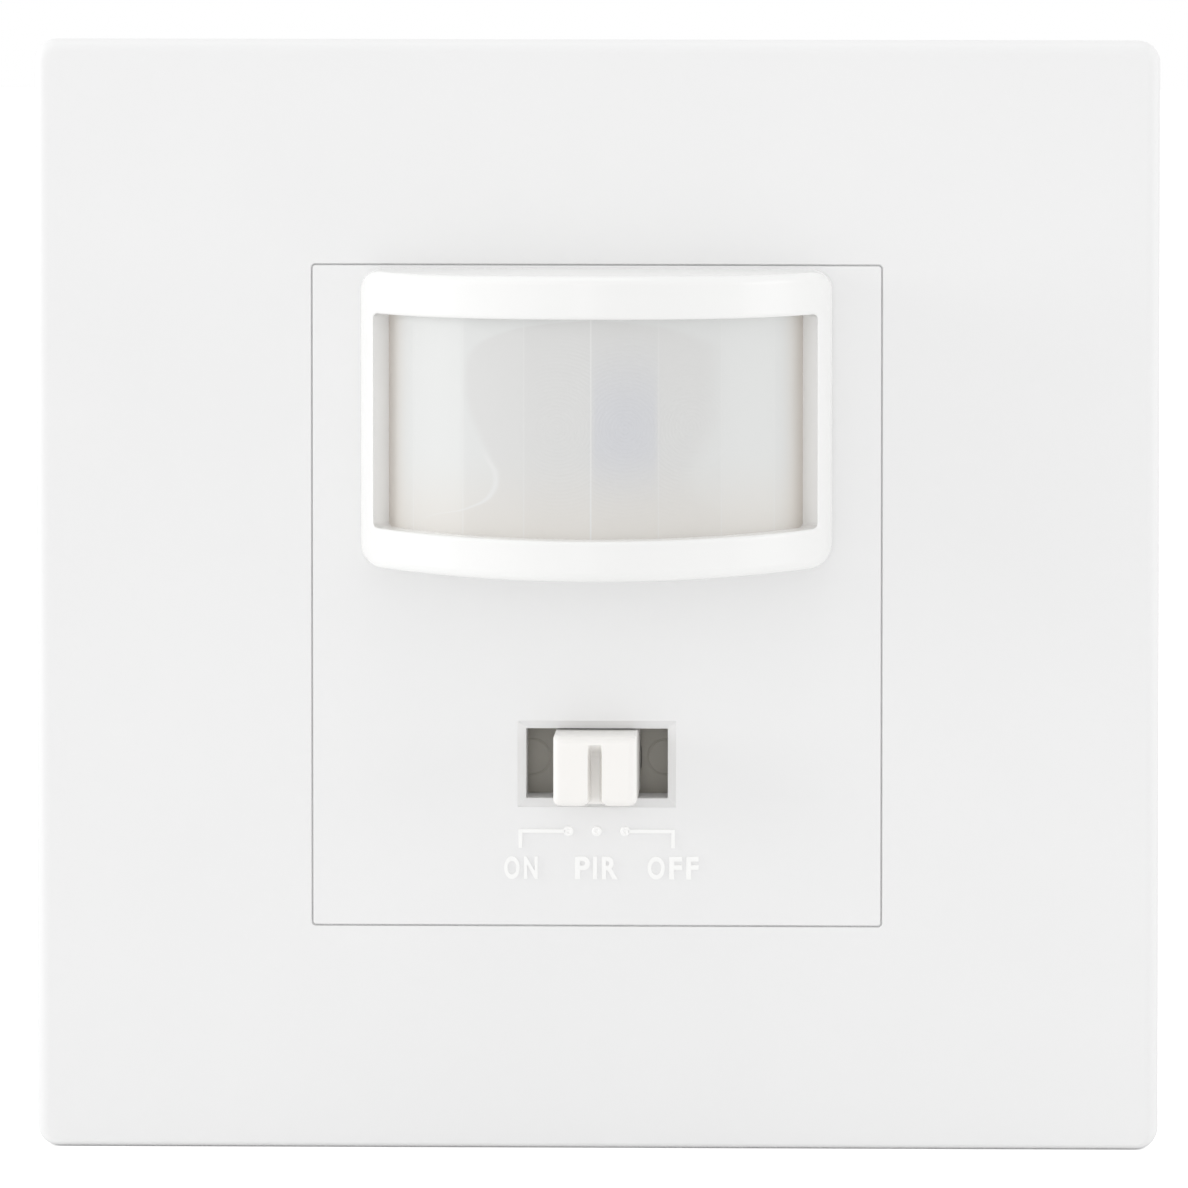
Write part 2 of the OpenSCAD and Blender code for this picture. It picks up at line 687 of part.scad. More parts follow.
module front_panel() {
    color(panel_white) {
        difference() {
            union() {
                slab(face_y, panel_back_y) rounded(panel_w, panel_h, panel_corner_r);
                difference() {
                    slab(face_y + panel_wall / 2, skirt_back_y) rounded(panel_w, panel_h, panel_corner_r);
                    slab(face_y, skirt_back_y + over)
                        rounded(panel_w - 2 * skirt_wall, panel_h - 2 * skirt_wall, panel_corner_r);
                }
                slab(face_y + panel_wall / 2, chute_back_y) translate([0, slot_z])
                    square([slot_w + 2 * chute_wall, slot_h + 2 * chute_wall], center = true);
                corners(peg_x, peg_z) rod(0, 0, face_y + panel_wall / 2, peg_back_y, peg_r);
            }
            slab(face_y - over, wall_y) translate([0, slot_z]) square([slot_w, slot_h], center = true);
            slot_funnel();
            slab(face_y - over, panel_back_y + over) translate([0, hood_z])
                square([sight_w, sight_h], center = true);
            for (s = [-1, 1]) translate([s * (hood_w / 2 - tab_inset - tab_t / 2), 0, hood_z])
                box(-tab_t / 2 - snug, tab_t / 2 + snug, face_y - over, panel_back_y + over,
                    -tab_h / 2 - snug, tab_h / 2 + snug);
        }
        slab(face_y - mark_h, face_y + panel_wall / 2) position_marks();
    }
}

// Three dots below the slot, with brackets that lead the outer two to their words
module position_marks() {
    for (i = [-1, 0, 1]) translate([i * knob_travel, mark_z]) circle(dot_r);
    bracket();
    mirror([1, 0]) bracket();
}

module bracket() {
    half = mark_stroke / 2;
    polygon([
        [knob_travel, mark_z + half], [mark_x + half, mark_z + half],
        [mark_x + half, mark_z - mark_drop], [mark_x - half, mark_z - mark_drop],
        [mark_x - half, mark_z - half], [knob_travel, mark_z - half]
    ]);
}

module window_wedge(spread) {
    reach = 3 * hood_r;
    upright(hood_z - window_h / 2, hood_z + window_h / 2) translate([0, hood_axis_y])
        polygon([[0, 0], [reach * sin(spread), -reach * cos(spread)],
            [-reach * sin(spread), -reach * cos(spread)]]);
}

module lens_hood() {
    color(hood_white) {
        difference() {
            intersection() {
                slab(face_y - hood_reach - over, face_y)
                    translate([0, hood_z]) rounded(hood_w, hood_h, hood_corner_r);
                upright(hood_z - hood_h, hood_z + hood_h) translate([0, hood_axis_y]) circle(hood_r);
            }
            upright(hood_z - cavity_h / 2, hood_z + cavity_h / 2)
                translate([0, hood_axis_y]) circle(cavity_r);
            window_wedge(window_angle);
        }
        for (s = [-1, 1]) translate([s * (hood_w / 2 - tab_inset - tab_t / 2), 0, hood_z])
            box(-tab_t / 2, tab_t / 2, face_y - tab_root, tab_back_y, -tab_h / 2, tab_h / 2);
    }
}

// A sheet bent about the hood's axis, from radius r0 to r1, kept in front of depth y1
module bent_sheet(r0, r1, h, y1) {
    intersection() {
        upright(hood_z - h / 2, hood_z + h / 2) translate([0, hood_axis_y]) difference() {
            circle(r1);
            circle(r0);
        }
        box(-hood_w, hood_w, face_y - 2 * hood_reach, y1, hood_z - h, hood_z + h);
    }
}

module fresnel_lens() {
    color(lens_white) bent_sheet(lens_r - lens_t, lens_r, lens_h, face_y - seat_gap);
}

module lens_retainer() {
    color(hood_white) difference() {
        bent_sheet(retainer_r - retainer_t, retainer_r, lens_h, face_y);
        window_wedge(window_angle);
    }
}

module selector_knob() {
    color(hood_white) difference() {
        union() {
            upright(slot_z - knob_h / 2, slot_z + knob_h / 2 - knob_band_h)
                front_rounded(knob_w / 2, knob_front_y, knob_back_y, lobe_r);
            upright(slot_z, slot_z + knob_h / 2)
                front_rounded(knob_w / 2, knob_front_y + knob_band_d, knob_back_y, lobe_r / 2);
        }
        box(-knob_groove_w / 2, knob_groove_w / 2, knob_front_y - over, knob_front_y + knob_groove_d,
            slot_z - knob_h, slot_z + knob_h / 2 - knob_band_h);
        box(-stem_w / 2 - snug, stem_w / 2 + snug, stem_front_y - snug, knob_back_y + over,
            slot_z - stem_h / 2 - snug, slot_z + stem_h / 2 + snug);
    }
}

module switch_slider() {
    color(black) {
        box(-slider_w / 2, slider_w / 2, slider_front_y, slider_back_y,
            slot_z - switch_z / 2 + shell_t + seat_gap, slot_z + switch_z / 2 - shell_t - seat_gap);
        box(-stem_w / 2, stem_w / 2, stem_front_y, slider_front_y + slider_t / 2,
            slot_z - stem_h / 2, slot_z + stem_h / 2);
    }
}

module switch_wiper() {
    color(brass) difference() {
        box(-wiper_w / 2, wiper_w / 2, wiper_front_y, wiper_front_y + wiper_t,
            slot_z - wiper_h / 2, slot_z + wiper_h / 2);
        box(-wiper_w / 4, wiper_w / 4, wiper_front_y + wiper_t / 2, wiper_front_y + wiper_t + over,
            slot_z - wiper_h, slot_z + wiper_h);
    }
}

module switch_shell() {
    color(steel) difference() {
        slab(switch_front_y, control_front_y - snug) translate([0, slot_z])
            square([switch_w, switch_z], center = true);
        slab(switch_front_y + shell_t, control_front_y + over) translate([0, slot_z])
            square([switch_w - 2 * shell_t, switch_z - 2 * shell_t], center = true);
        slab(switch_front_y - over, switch_front_y + over) translate([0, slot_z])
            square([stem_w + 2 * knob_travel + 2 * seat_gap, stem_h + 2 * seat_gap], center = true);
    }
}

module switch_base() {
    color(black) difference() {
        slab(base_front_y, control_front_y) translate([0, slot_z])
            square([switch_w - 2 * shell_t - 2 * snug, switch_z - 2 * shell_t - 2 * snug], center = true);
        for (i = [-1.5 : 1.5])
            rod(i * pin_pitch, slot_z, base_front_y - over, control_front_y + over, pin_r + snug);
    }
}

module switch_pins() {
    color(tin) for (i = [-1.5 : 1.5]) rod(i * pin_pitch, slot_z, base_front_y, pin_back_y, pin_r);
}

module board_outline(w) {
    square([w, board_arm], center = true);
    square([board_arm, board_w], center = true);
}

module control_board() {
    color(board_green) difference() {
        slab(control_front_y, control_back_y) board_outline(board_w);
        for (i = [-1.5 : 1.5]) board_hole(i * pin_pitch, slot_z, pin_r);
        for (a = [0 : 90 : 180])
            board_hole(lead_circle_r * cos(a), can_z + lead_circle_r * sin(a), lead_r);
        for (s = [-1, 1], t = [-1, 1]) board_hole(s * trimmer_x + t * trimmer_leg_x, slot_z, pin_r);
        for (t = [-1, 1]) board_hole(ldr_x + t * ldr_leg_x, can_z, lead_r);
        header_holes(control_front_y, control_back_y);
    }
}

module board_hole(x, z, r) {
    rod(x, z, control_front_y - over, control_back_y + over, r + slide_gap);
}

module header_holes(y0, y1) {
    for (i = [0 : header_n - 1])
        rod((i - (header_n - 1) / 2) * header_pitch, 0, y0 - over, y1 + over, header_pin_r + slide_gap);
}

module sensor_can() {
    color(tin) difference() {
        union() {
            rod(0, can_z, can_front_y, can_front_y + can_h, can_r);
            rod(0, can_z, can_front_y + can_h, can_back_y, can_flange_r);
        }
        rod(0, can_z, can_front_y + can_wall, can_front_y + can_h, can_r - can_wall);
        slab(can_front_y - over, can_front_y + 2 * can_wall) translate([0, can_z])
            square([sensor_port_w, sensor_port_h], center = true);
        for (a = [0 : 90 : 180])
            rod(lead_circle_r * cos(a), can_z + lead_circle_r * sin(a), can_front_y + can_h / 2,
                can_back_y + over, lead_r + snug);
    }
}

module sensor_window() {
    color(black) slab(can_front_y, can_front_y + window_t) translate([0, can_z])
        square([sensor_port_w - 2 * snug, sensor_port_h - 2 * snug], center = true);
}

module sensor_holder() {
    color(hood_white) difference() {
        rod(0, can_z, can_back_y, control_front_y, holder_r);
        for (a = [0 : 90 : 180])
            rod(lead_circle_r * cos(a), can_z + lead_circle_r * sin(a), can_back_y - over,
                control_front_y + over, lead_r + snug);
    }
}

module sensor_leads() {
    color(tin) for (a = [0 : 90 : 180])
        rod(lead_circle_r * cos(a), can_z + lead_circle_r * sin(a), can_back_y - can_base_t,
            pin_back_y, lead_r);
}

// A funnel round the sensor that keeps stray light off it
module sensor_shroud() {
    color(hood_white) translate([0, 0, can_z]) rotate([90, 0, 0]) rotate_extrude() polygon([
        [shroud_back_r, -cover_front_y], [shroud_out_r, -cover_front_y],
        [shroud_out_r, -shroud_front_y - shroud_wall], [shroud_out_r - shroud_wall, -shroud_front_y],
        [shroud_out_r - shroud_wall - shroud_lip, -shroud_front_y]
    ]);
}

module light_sensor() {
    color(cell_orange) {
        rod(ldr_x, can_z, cover_front_y - ldr_t / 2, cover_front_y + ldr_t / 2, ldr_r);
        for (t = [-1, 1])
            rod(ldr_x + t * ldr_leg_x, can_z, cover_front_y, pin_back_y, lead_r);
    }
}

module trimmer(x) {
    color(trimmer_blue) {
        difference() {
            rod(x, slot_z, control_front_y - trimmer_h, control_front_y, trimmer_r);
            rod(x, slot_z, control_front_y - trimmer_h - over, rotor_back_y + snug, rotor_r + snug);
        }
        for (t = [-1, 1])
            rod(x + t * trimmer_leg_x, slot_z, control_front_y - trimmer_h / 4, pin_back_y, pin_r);
    }
}

module rotor(x) {
    color(hood_white) difference() {
        rod(x, slot_z, rotor_front_y, rotor_back_y, rotor_r);
        box(x - rotor_slot_w / 2, x + rotor_slot_w / 2, rotor_front_y - over, rotor_front_y + rotor_slot_d,
            slot_z - rotor_r - over, slot_z + rotor_r / 2);
    }
}

module lux_trimmer() { trimmer(-trimmer_x); }
module lux_rotor() { rotor(-trimmer_x); }
module time_trimmer() { trimmer(trimmer_x); }
module time_rotor() { rotor(trimmer_x); }

module controller_chip() {
    color(black) slab(control_back_y, control_back_y + chip_t) translate([chip_x, 0])
        rounded(chip_w, chip_h, chip_corner_r);
}

module header_strip() {
    color(black) difference() {
        slab(control_back_y, power_front_y) square([header_n * header_pitch, header_t], center = true);
        for (i = [0 : header_n - 1])
            rod((i - (header_n - 1) / 2) * header_pitch, 0, control_back_y - over, power_front_y + over,
                header_pin_r + snug);
    }
}

module header_pins() {
    color(tin) for (i = [0 : header_n - 1])
        rod((i - (header_n - 1) / 2) * header_pitch, 0, control_front_y + snug, power_back_y - snug,
            header_pin_r);
}

module power_board() {
    color(board_green) difference() {
        slab(power_front_y, power_back_y) board_outline(power_w);
        header_holes(power_front_y, power_back_y);
        for (i = [-1, 0, 1])
            box(i * pole_pitch - leg_w / 2 - slide_gap, i * pole_pitch + leg_w / 2 + slide_gap,
                power_front_y - over, power_back_y + over, leg_z0 - slide_gap, leg_z1 + slide_gap);
    }
}

module relay_case() {
    color(relay_blue) difference() {
        slab(power_back_y, power_back_y + relay_h) translate([0, relay_z])
            rounded(relay_w, relay_d, relay_corner_r);
        slab(power_back_y - over, power_back_y + relay_h - relay_wall) translate([0, relay_z])
            square([relay_w - 2 * relay_wall, relay_d - 2 * relay_wall], center = true);
    }
}

module relay_base() {
    color(black) slab(power_back_y, power_back_y + relay_base_t) translate([0, relay_z])
        square([relay_w - 2 * relay_wall - 2 * slide_gap, relay_d - 2 * relay_wall - 2 * slide_gap],
            center = true);
}

// A round bar along X at depth y and height z
module bar(x0, x1, y, z, r) {
    translate([x0, y, z]) rotate([0, 90, 0]) cylinder(h = x1 - x0, r = r);
}

module relay_coil() {
    color(copper) {
        bar(coil_x0, coil_x1, coil_y, relay_z, coil_r);
        bar(coil_x0, coil_x0 + coil_flange_t, coil_y, relay_z, coil_flange_r);
        bar(coil_x1 - coil_flange_t, coil_x1, coil_y, relay_z, coil_flange_r);
        bar(coil_x0 - core_out + snug, coil_x1 + core_out, coil_y, relay_z, core_r);
    }
}

// An angle of soft iron: along the coil and down its back end
module relay_yoke() {
    color(steel) {
        box(coil_x0 - core_out - armature_t, armature_x - seat_gap, iron_y, iron_y + iron_t,
            relay_z - iron_d / 2, relay_z + iron_d / 2);
        box(coil_x0 - core_out - armature_t, coil_x0 - core_out,
            power_back_y + relay_base_t, iron_y + iron_t / 2, relay_z - iron_d / 2, relay_z + iron_d / 2);
    }
}

module relay_armature() {
    color(steel) box(armature_x, armature_x + armature_t, armature_back_y - armature_l, armature_back_y,
        relay_z - iron_d / 2, relay_z + iron_d / 2);
}

module relay_contacts() {
    color(brass) for (i = [0, 1]) {
        box(contact_x + i * contact_step, contact_x + i * contact_step + contact_t,
            power_back_y + relay_base_t, power_back_y + relay_base_t + contact_l,
            relay_z - contact_w / 2, relay_z + contact_w / 2);
        bar(contact_x + i * (contact_step - contact_dot_t) + (1 - i) * contact_t / 2,
            contact_x + i * (contact_step + contact_t / 2) + (1 - i) * (contact_t + contact_dot_t),
            power_back_y + relay_base_t + contact_l - 2 * contact_dot_r, relay_z, contact_dot_r);
    }
}

module film_capacitor() {
    color(film_yellow) slab(power_back_y, power_back_y + film_h) translate([film_x, film_z])
        rounded(film_w, film_d, film_corner_r);
}

module electrolytic_capacitors() {
    color(sleeve_dark) for (i = [0, 1]) translate([lytic_x + i * lytic_step, 0, lytic_z]) difference() {
        rod(0, 0, power_back_y, power_back_y + lytic_h, lytic_r);
        translate([0, power_back_y + lytic_h / 8, 0]) rotate([90, 0, 0]) rotate_extrude()
            translate([lytic_r, 0]) circle(lytic_groove);
    }
}

module varistor() {
    color(varistor_blue) upright(varistor_z - varistor_t / 2, varistor_z + varistor_t / 2)
        translate([varistor_x, power_back_y + varistor_r]) circle(varistor_r);
}

module fuse() {
    color(ceramic_white) {
        bar(fuse_x - fuse_l / 2, fuse_x + fuse_l / 2, power_back_y + fuse_cap_r, fuse_z, fuse_r);
        for (s = [-1, 1]) translate([s * (fuse_l - fuse_cap_l) / 2, 0, 0])
            bar(fuse_x - fuse_cap_l / 2, fuse_x + fuse_cap_l / 2, power_back_y + fuse_cap_r, fuse_z,
                fuse_cap_r);
    }
}

// An axial part on the board's face at depth y: body along X with a wire at each end
module axial(x, z, r, l, y) {
    bar(x - l / 2, x + l / 2, y, z, r);
    bar(x - l / 2 - 2 * axial_wire_r, x + l / 2 + 2 * axial_wire_r, y, z, axial_wire_r);
}

module rectifier_diodes() {
    color(black) for (i = [-1.5 : 1.5])
        axial(-diode_x, i * diode_pitch, diode_r, diode_l, power_front_y - diode_r);
}

module dropper_resistor() {
    color(coat_blue)
        axial(resistor_x, resistor_z, resistor_r, resistor_l, power_back_y + resistor_r);
}

module terminal_block() {
    color(terminal_grey) difference() {
        box(-block_w / 2, block_w / 2, power_back_y, housing_back_y, block_z0, block_z1);
        for (i = [-1, 0, 1]) {
            box(i * pole_pitch - pocket_w / 2, i * pole_pitch + pocket_w / 2,
                power_back_y - over, ledge_front_y, pocket_z0, pocket_z1);
            rod(i * pole_pitch, screw_z, ledge_front_y - over, housing_back_y + over,
                screw_d / 2 + slide_gap);
            rod(i * pole_pitch, screw_z, ledge_back_y, housing_back_y + over, access_r);
            translate([i * pole_pitch, wire_y, block_z0 - over])
                cylinder(h = pocket_z0 - block_z0 + 2 * over, r = wire_hole_d / 2);
        }
    }
}

module terminal_bars() {
    color(brass) for (i = [-1, 0, 1]) {
        box(i * pole_pitch - bar_w / 2, i * pole_pitch + bar_w / 2, bar_front_y, bar_back_y,
            cage_z0 + cage_wall, leg_z1);
        box(i * pole_pitch - leg_w / 2, i * pole_pitch + leg_w / 2,
            power_front_y - bar_t, bar_back_y - bar_t / 2, leg_z0, leg_z1);
    }
}

module clamp_cage(i) {
    color(steel) difference() {
        box(i * pole_pitch - cage_w / 2, i * pole_pitch + cage_w / 2, cage_front_y, cage_back_y,
            cage_z0, cage_z1);
        box(i * pole_pitch - cage_w / 2 + cage_wall, i * pole_pitch + cage_w / 2 - cage_wall,
            cage_front_y + cage_wall, cage_back_y - cage_wall, cage_z0 - over, cage_z1 + over);
        rod(i * pole_pitch, screw_z, cage_back_y - cage_wall - over, cage_back_y + over, screw_d / 2 + snug);
    }
}

module terminal_screw(i) {
    color(steel) difference() {
        union() {
            rod(i * pole_pitch, screw_z, head_front_y, head_back_y, head_r);
            rod(i * pole_pitch, screw_z, bar_back_y + snug, head_front_y + head_h / 2, screw_d / 2);
        }
        box(i * pole_pitch - head_slot_w / 2, i * pole_pitch + head_slot_w / 2,
            head_back_y - head_slot_d, head_back_y + over, screw_z - 2 * head_r, screw_z + 2 * head_r);
    }
}

module clamp_cage_1() { clamp_cage(-1); }
module clamp_cage_2() { clamp_cage(0); }
module clamp_cage_3() { clamp_cage(1); }
module terminal_screw_1() { terminal_screw(-1); }
module terminal_screw_2() { terminal_screw(0); }
module terminal_screw_3() { terminal_screw(1); }

outer_frame();
mounting_frame();
frame_screws();
rear_housing();
inner_cover();
cover_screws();
front_panel();
lens_hood();
fresnel_lens();
lens_retainer();
selector_knob();
switch_slider();
switch_wiper();
switch_shell();
switch_base();
switch_pins();
control_board();
sensor_can();
sensor_window();
sensor_holder();
sensor_leads();
sensor_shroud();
light_sensor();
lux_trimmer();
lux_rotor();
time_trimmer();
time_rotor();
controller_chip();
header_strip();
header_pins();
power_board();
relay_case();
relay_base();
relay_coil();
relay_yoke();
relay_armature();
relay_contacts();
film_capacitor();
electrolytic_capacitors();
varistor();
fuse();
rectifier_diodes();
dropper_resistor();
terminal_block();
terminal_bars();
clamp_cage_1();
clamp_cage_2();
clamp_cage_3();
terminal_screw_1();
terminal_screw_2();
terminal_screw_3();
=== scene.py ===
"""A flush motion sensor light switch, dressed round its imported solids.

Front faces -Y and up is +Z. Every piece is made in metres where the solids are, and the sizes written
below are millimetres until they are multiplied by MM.
"""

import json
import math

import bmesh
import bpy
import numpy as np
from bpy.props import FloatProperty, FloatVectorProperty, PointerProperty
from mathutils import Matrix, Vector
from mathutils.geometry import tessellate_polygon


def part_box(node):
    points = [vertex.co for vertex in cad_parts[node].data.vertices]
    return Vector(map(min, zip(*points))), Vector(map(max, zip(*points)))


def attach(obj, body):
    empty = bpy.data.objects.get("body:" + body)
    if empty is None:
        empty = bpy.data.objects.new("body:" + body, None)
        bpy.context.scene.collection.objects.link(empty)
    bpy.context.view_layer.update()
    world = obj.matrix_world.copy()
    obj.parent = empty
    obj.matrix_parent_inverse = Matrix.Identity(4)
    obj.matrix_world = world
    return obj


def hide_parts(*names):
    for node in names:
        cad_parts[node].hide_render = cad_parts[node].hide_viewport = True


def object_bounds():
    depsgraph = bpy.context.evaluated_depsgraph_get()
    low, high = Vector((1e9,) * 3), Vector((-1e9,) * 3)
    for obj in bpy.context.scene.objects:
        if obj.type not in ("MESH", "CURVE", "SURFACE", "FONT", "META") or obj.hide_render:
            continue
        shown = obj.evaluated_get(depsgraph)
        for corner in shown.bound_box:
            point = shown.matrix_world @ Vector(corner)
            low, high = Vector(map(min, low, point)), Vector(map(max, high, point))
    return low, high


bl_info = {
    "name": "Motion sensor light switch",
    "version": (1, 0, 0),
    "blender": (4, 5, 0),
    "location": "View3D > Sidebar > Switch",
    "description": "Builds the visible pieces and finishes of a flush motion sensor light switch",
    "category": "Object",
}

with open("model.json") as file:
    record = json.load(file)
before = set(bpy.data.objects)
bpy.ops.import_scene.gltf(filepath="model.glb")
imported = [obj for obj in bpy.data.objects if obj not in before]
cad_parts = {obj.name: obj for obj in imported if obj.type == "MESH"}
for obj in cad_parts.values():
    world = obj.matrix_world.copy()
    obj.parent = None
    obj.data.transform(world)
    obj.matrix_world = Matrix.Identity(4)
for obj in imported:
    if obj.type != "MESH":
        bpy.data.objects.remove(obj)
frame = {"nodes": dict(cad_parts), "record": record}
CAD_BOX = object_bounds()

MM = 0.001
QUARTER = math.pi / 2
WHITE = (1.0, 1.0, 1.0, 1.0)

# A ring's level is a row: left, right, low, high, four corner radii, depth
GROW = np.array([-1, 1, -1, 1, 1, 1, 1, 1, 0]) * MM
SHRINK = -GROW
BACK = np.array([0, 0, 0, 0, 0, 0, 0, 0, 1]) * MM
AHEAD = -BACK
WIDEN = np.array([-1, 1, -1, 1, 0, 0, 0, 0, 0]) * MM
# Share of an edge's rounding on each side, smaller on the lower one
LOW_SHARP = np.array([1, 1, 0.45, 1, 1, 1, 1, 1, 1])
# How far the levels beyond an edge's rounding keep the flat sides flat
SUPPORT = 0.03

# Depths of the panel's front and back, and the heights of what it carries
PANEL_FACE, PANEL_REAR = -9.0, -7.0
SIGHT_Z, SLOT_Z, MARKS_Z, WORDS_Z = 12.9, -12.15, -17.0, -19.65

# The upright axis that the hood and the lens share, the lens's radius, and its facets as angles
LENS_AXIS = -2.8 * MM
LENS_RADIUS = 17.16 * MM
FACET_TURN = math.radians(16.3)
FACET_START = math.radians(-49.2)
MIDDLE_FACET = 3.5
RING_PITCH = 0.27 * MM
# Height and half width of the painted shade of the form behind the lens, and the widest half its curve can give
BEHIND = ((4.5, 13.6), (6.1, 12.1), (7.0, 9.0), (8.2, 7.2), (9.5, 6.95), (10.6, 7.5), (12.05, 8.2), (14.0, 9.0),
          (15.9, 9.3), (18.1, 9.0), (19.6, 6.8), (20.5, 2.5), (20.8, 0.0), (21.5, 0.0))
BEHIND_WIDEST = 14.0


def linear(red, green, blue):
    """A colour given in screen values of 0 to 255, as scene values."""
    c = np.array([red, green, blue]) / 255
    return tuple(np.where(c <= 0.04045, c / 12.92, ((c + 0.055) / 1.055) ** 2.4)) + (1.0,)


# Shapes

def row(width, height, radius, depth, x=0.0, z=0.0):
    """A ring's level in metres from millimetres: a rectangle about (x, z) with equal corner radii."""
    w, h = width / 2, height / 2
    return np.array([x - w, x + w, z - h, z + h, radius, radius, radius, radius, depth]) * MM


def edge(corner, first, second, radius, steps=6):
    """Levels round an edge, from the side that points along `first` to the one along `second`.

    A quarter circle: corner + r (1 - sin t) first + r (1 - cos t) second, with t from 0 to 90
    degrees, and one more level beyond each end that keeps the flat sides flat in shading."""
    t = np.linspace(0, QUARTER, steps + 1)[:, None]
    arc = corner + radius * ((1 - np.sin(t)) * first + (1 - np.cos(t)) * second)
    ahead = corner + (radius + SUPPORT) * first
    after = corner + (radius + SUPPORT) * second
    return np.vstack([ahead, arc, after])


def outline(rows, arc=6, along_x=1, along_z=1):
    """The (x, z) points of every level: shape (levels, points, 2).

    Round each corner they follow centre + r (cos a, sin a), a quarter turn in `arc` steps, and
    between two corners they go straight in equal steps."""
    x0, x1, z0, z1, r_a, r_b, r_c, r_d, _ = [column[:, None] for column in np.atleast_2d(rows).T]
    turn = np.linspace(0, QUARTER, arc + 1)[None, :]
    corners = [(x1 - r_a, z0 + r_a, r_a, -QUARTER), (x1 - r_b, z1 - r_b, r_b, 0.0),
               (x0 + r_c, z1 - r_c, r_c, QUARTER), (x0 + r_d, z0 + r_d, r_d, 2 * QUARTER)]
    arcs = [np.stack([cx + r * np.cos(a + turn), cz + r * np.sin(a + turn)], -1) for cx, cz, r, a in corners]
    out = []
    for k, (here, steps) in enumerate(zip(arcs, (along_z, along_x, along_z, along_x))):
        t = np.linspace(0, 1, steps + 1)[1:-1][None, :, None]
        after = arcs[(k + 1) % 4][:, :1]
        out += [here, here[:, -1:] * (1 - t) + after * t]
    return np.concatenate(out, 1)


def levels(rows, **steps):
    """The points of every level with its own flat depth: shape (levels, points, 3)."""
    xz = outline(rows, **steps)
    y = np.broadcast_to(np.atleast_2d(rows)[:, 8][:, None], xz.shape[:2])
    return np.stack([xz[..., 0], y, xz[..., 1]], -1)


def quads(count, points, closed=False, round_=True):
    """Four-sided faces of a grid of `count` levels of `points` points, as an array of indices."""
    i = np.arange(count if closed else count - 1)[:, None]
    j = np.arange(points if round_ else points - 1)[None, :]
    i2, j2 = (i + 1) % count, (j + 1) % points
    return np.stack([i * points + j, i * points + j2, i2 * points + j2, i2 * points + j], -1).reshape(-1, 4)


def skin(grid, closed=False, round_=True):
    """A grid of points, shape (levels, points, 3), as (points, faces)."""
    return grid.reshape(-1, 3), quads(grid.shape[0], grid.shape[1], closed, round_)


def cap(loop):
    """A fan that closes one loop of points about its middle."""
    n = len(loop)
    j = np.arange(n)
    return np.vstack([loop, loop.mean(0)]), np.stack([j, (j + 1) % n, np.full(n, n)], -1)


def flat(*loops):
    """The plane between an outer loop and the loops of its holes, in triangles."""
    points = np.vstack(loops)
    faces = tessellate_polygon([[Vector(p) for p in loop] for loop in loops])
    return points, np.array(faces)


def turned(profile, x, z, steps=48):
    """A closed profile of (radius, depth) pairs in millimetres, turned about the depth axis at (x, z)."""
    a = np.linspace(0, 4 * QUARTER, steps, endpoint=False)
    r, y = (np.array(profile) * MM).T[..., None]
    return skin(np.stack([x * MM + r * np.cos(a), y + 0 * a, z * MM + r * np.sin(a)], -1))


def pins(radius, tip, across, up, root=-7.5, chamfer=0.25):
    """Four round pins with chamfered tips, one at each (+-across, +-up)."""
    profile = [(0, root), (radius, root), (radius, tip - chamfer), (radius - chamfer, tip), (0, tip)]
    return [turned(profile, x, z) for x in (-across, across) for z in (-up, up)]


def relief(loop, top, foot):
    """A flat outline of (x, z) points raised off the panel: its walls and its top."""
    walls = np.stack([np.insert(loop, 1, depth, axis=1) for depth in (foot, top)])
    return [skin(walls), flat(walls[1])]


def put_in_scene(name, data):
    """A new object for the data, at the origin."""
    thing = bpy.data.objects.new(name, data)
    bpy.context.scene.collection.objects.link(thing)
    return thing


def shade_smooth(mesh, angle):
    """Smooth shading, broken at edges sharper than the angle in degrees."""
    mesh.polygons.foreach_set("use_smooth", np.ones(len(mesh.polygons), bool))
    mesh.set_sharp_from_angle(angle=math.radians(angle))


def make_piece(name, parts, material, body, stands_for=(), smooth=30.0):
    """One piece from several (points, faces) parts: doubles merged, faces turned outwards."""
    mesh = bpy.data.meshes.new(name)
    points, faces, start = [], [], 0
    for p, f in parts:
        points.append(p)
        faces += [tuple(np.asarray(corners) + start) for corners in f]
        start += len(p)
    mesh.from_pydata(np.vstack(points).tolist(), [], faces)
    bm = bmesh.new()
    bm.from_mesh(mesh)
    bmesh.ops.remove_doubles(bm, verts=bm.verts, dist=1e-7)
    bmesh.ops.dissolve_degenerate(bm, edges=bm.edges, dist=1e-7)
    bmesh.ops.recalc_face_normals(bm, faces=bm.faces)
    bm.to_mesh(mesh)
    bm.free()
    shade_smooth(mesh, smooth)
    piece = put_in_scene(name, mesh)
    mesh.materials.append(material)
    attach(piece, body)
    if stands_for:
        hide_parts(*stands_for)


# Node helpers

def feed(tree, socket, value):
    """Links a socket to the value where that is another node's socket, and otherwise sets it."""
    if isinstance(value, bpy.types.NodeSocket):
        tree.links.new(value, socket)
    else:
        socket.default_value = value


def feed_all(tree, sockets, values):
    """Feeds sockets by name, with _ for a space."""
    for label, value in values.items():
        feed(tree, sockets[label.replace("_", " ")], value)


def add_node(tree, kind, **values):
    """A shader node with its inputs fed."""
    node = tree.nodes.new("ShaderNode" + kind)
    feed_all(tree, node.inputs, values)
    return node


def compute(tree, operation, *values):
    """The result of a Math node."""
    node = add_node(tree, "Math")
    node.operation = operation
    for socket, value in zip(node.inputs, values):
        feed(tree, socket, value)
    return node.outputs[0]


def smooth_step(tree, value, start, end):
    """From 0 to 1, eased, as the value goes from start to end."""
    node = add_node(tree, "MapRange", Value=value, From_Min=start, From_Max=end)
    node.interpolation_type = "SMOOTHSTEP"
    return node.outputs["Result"]


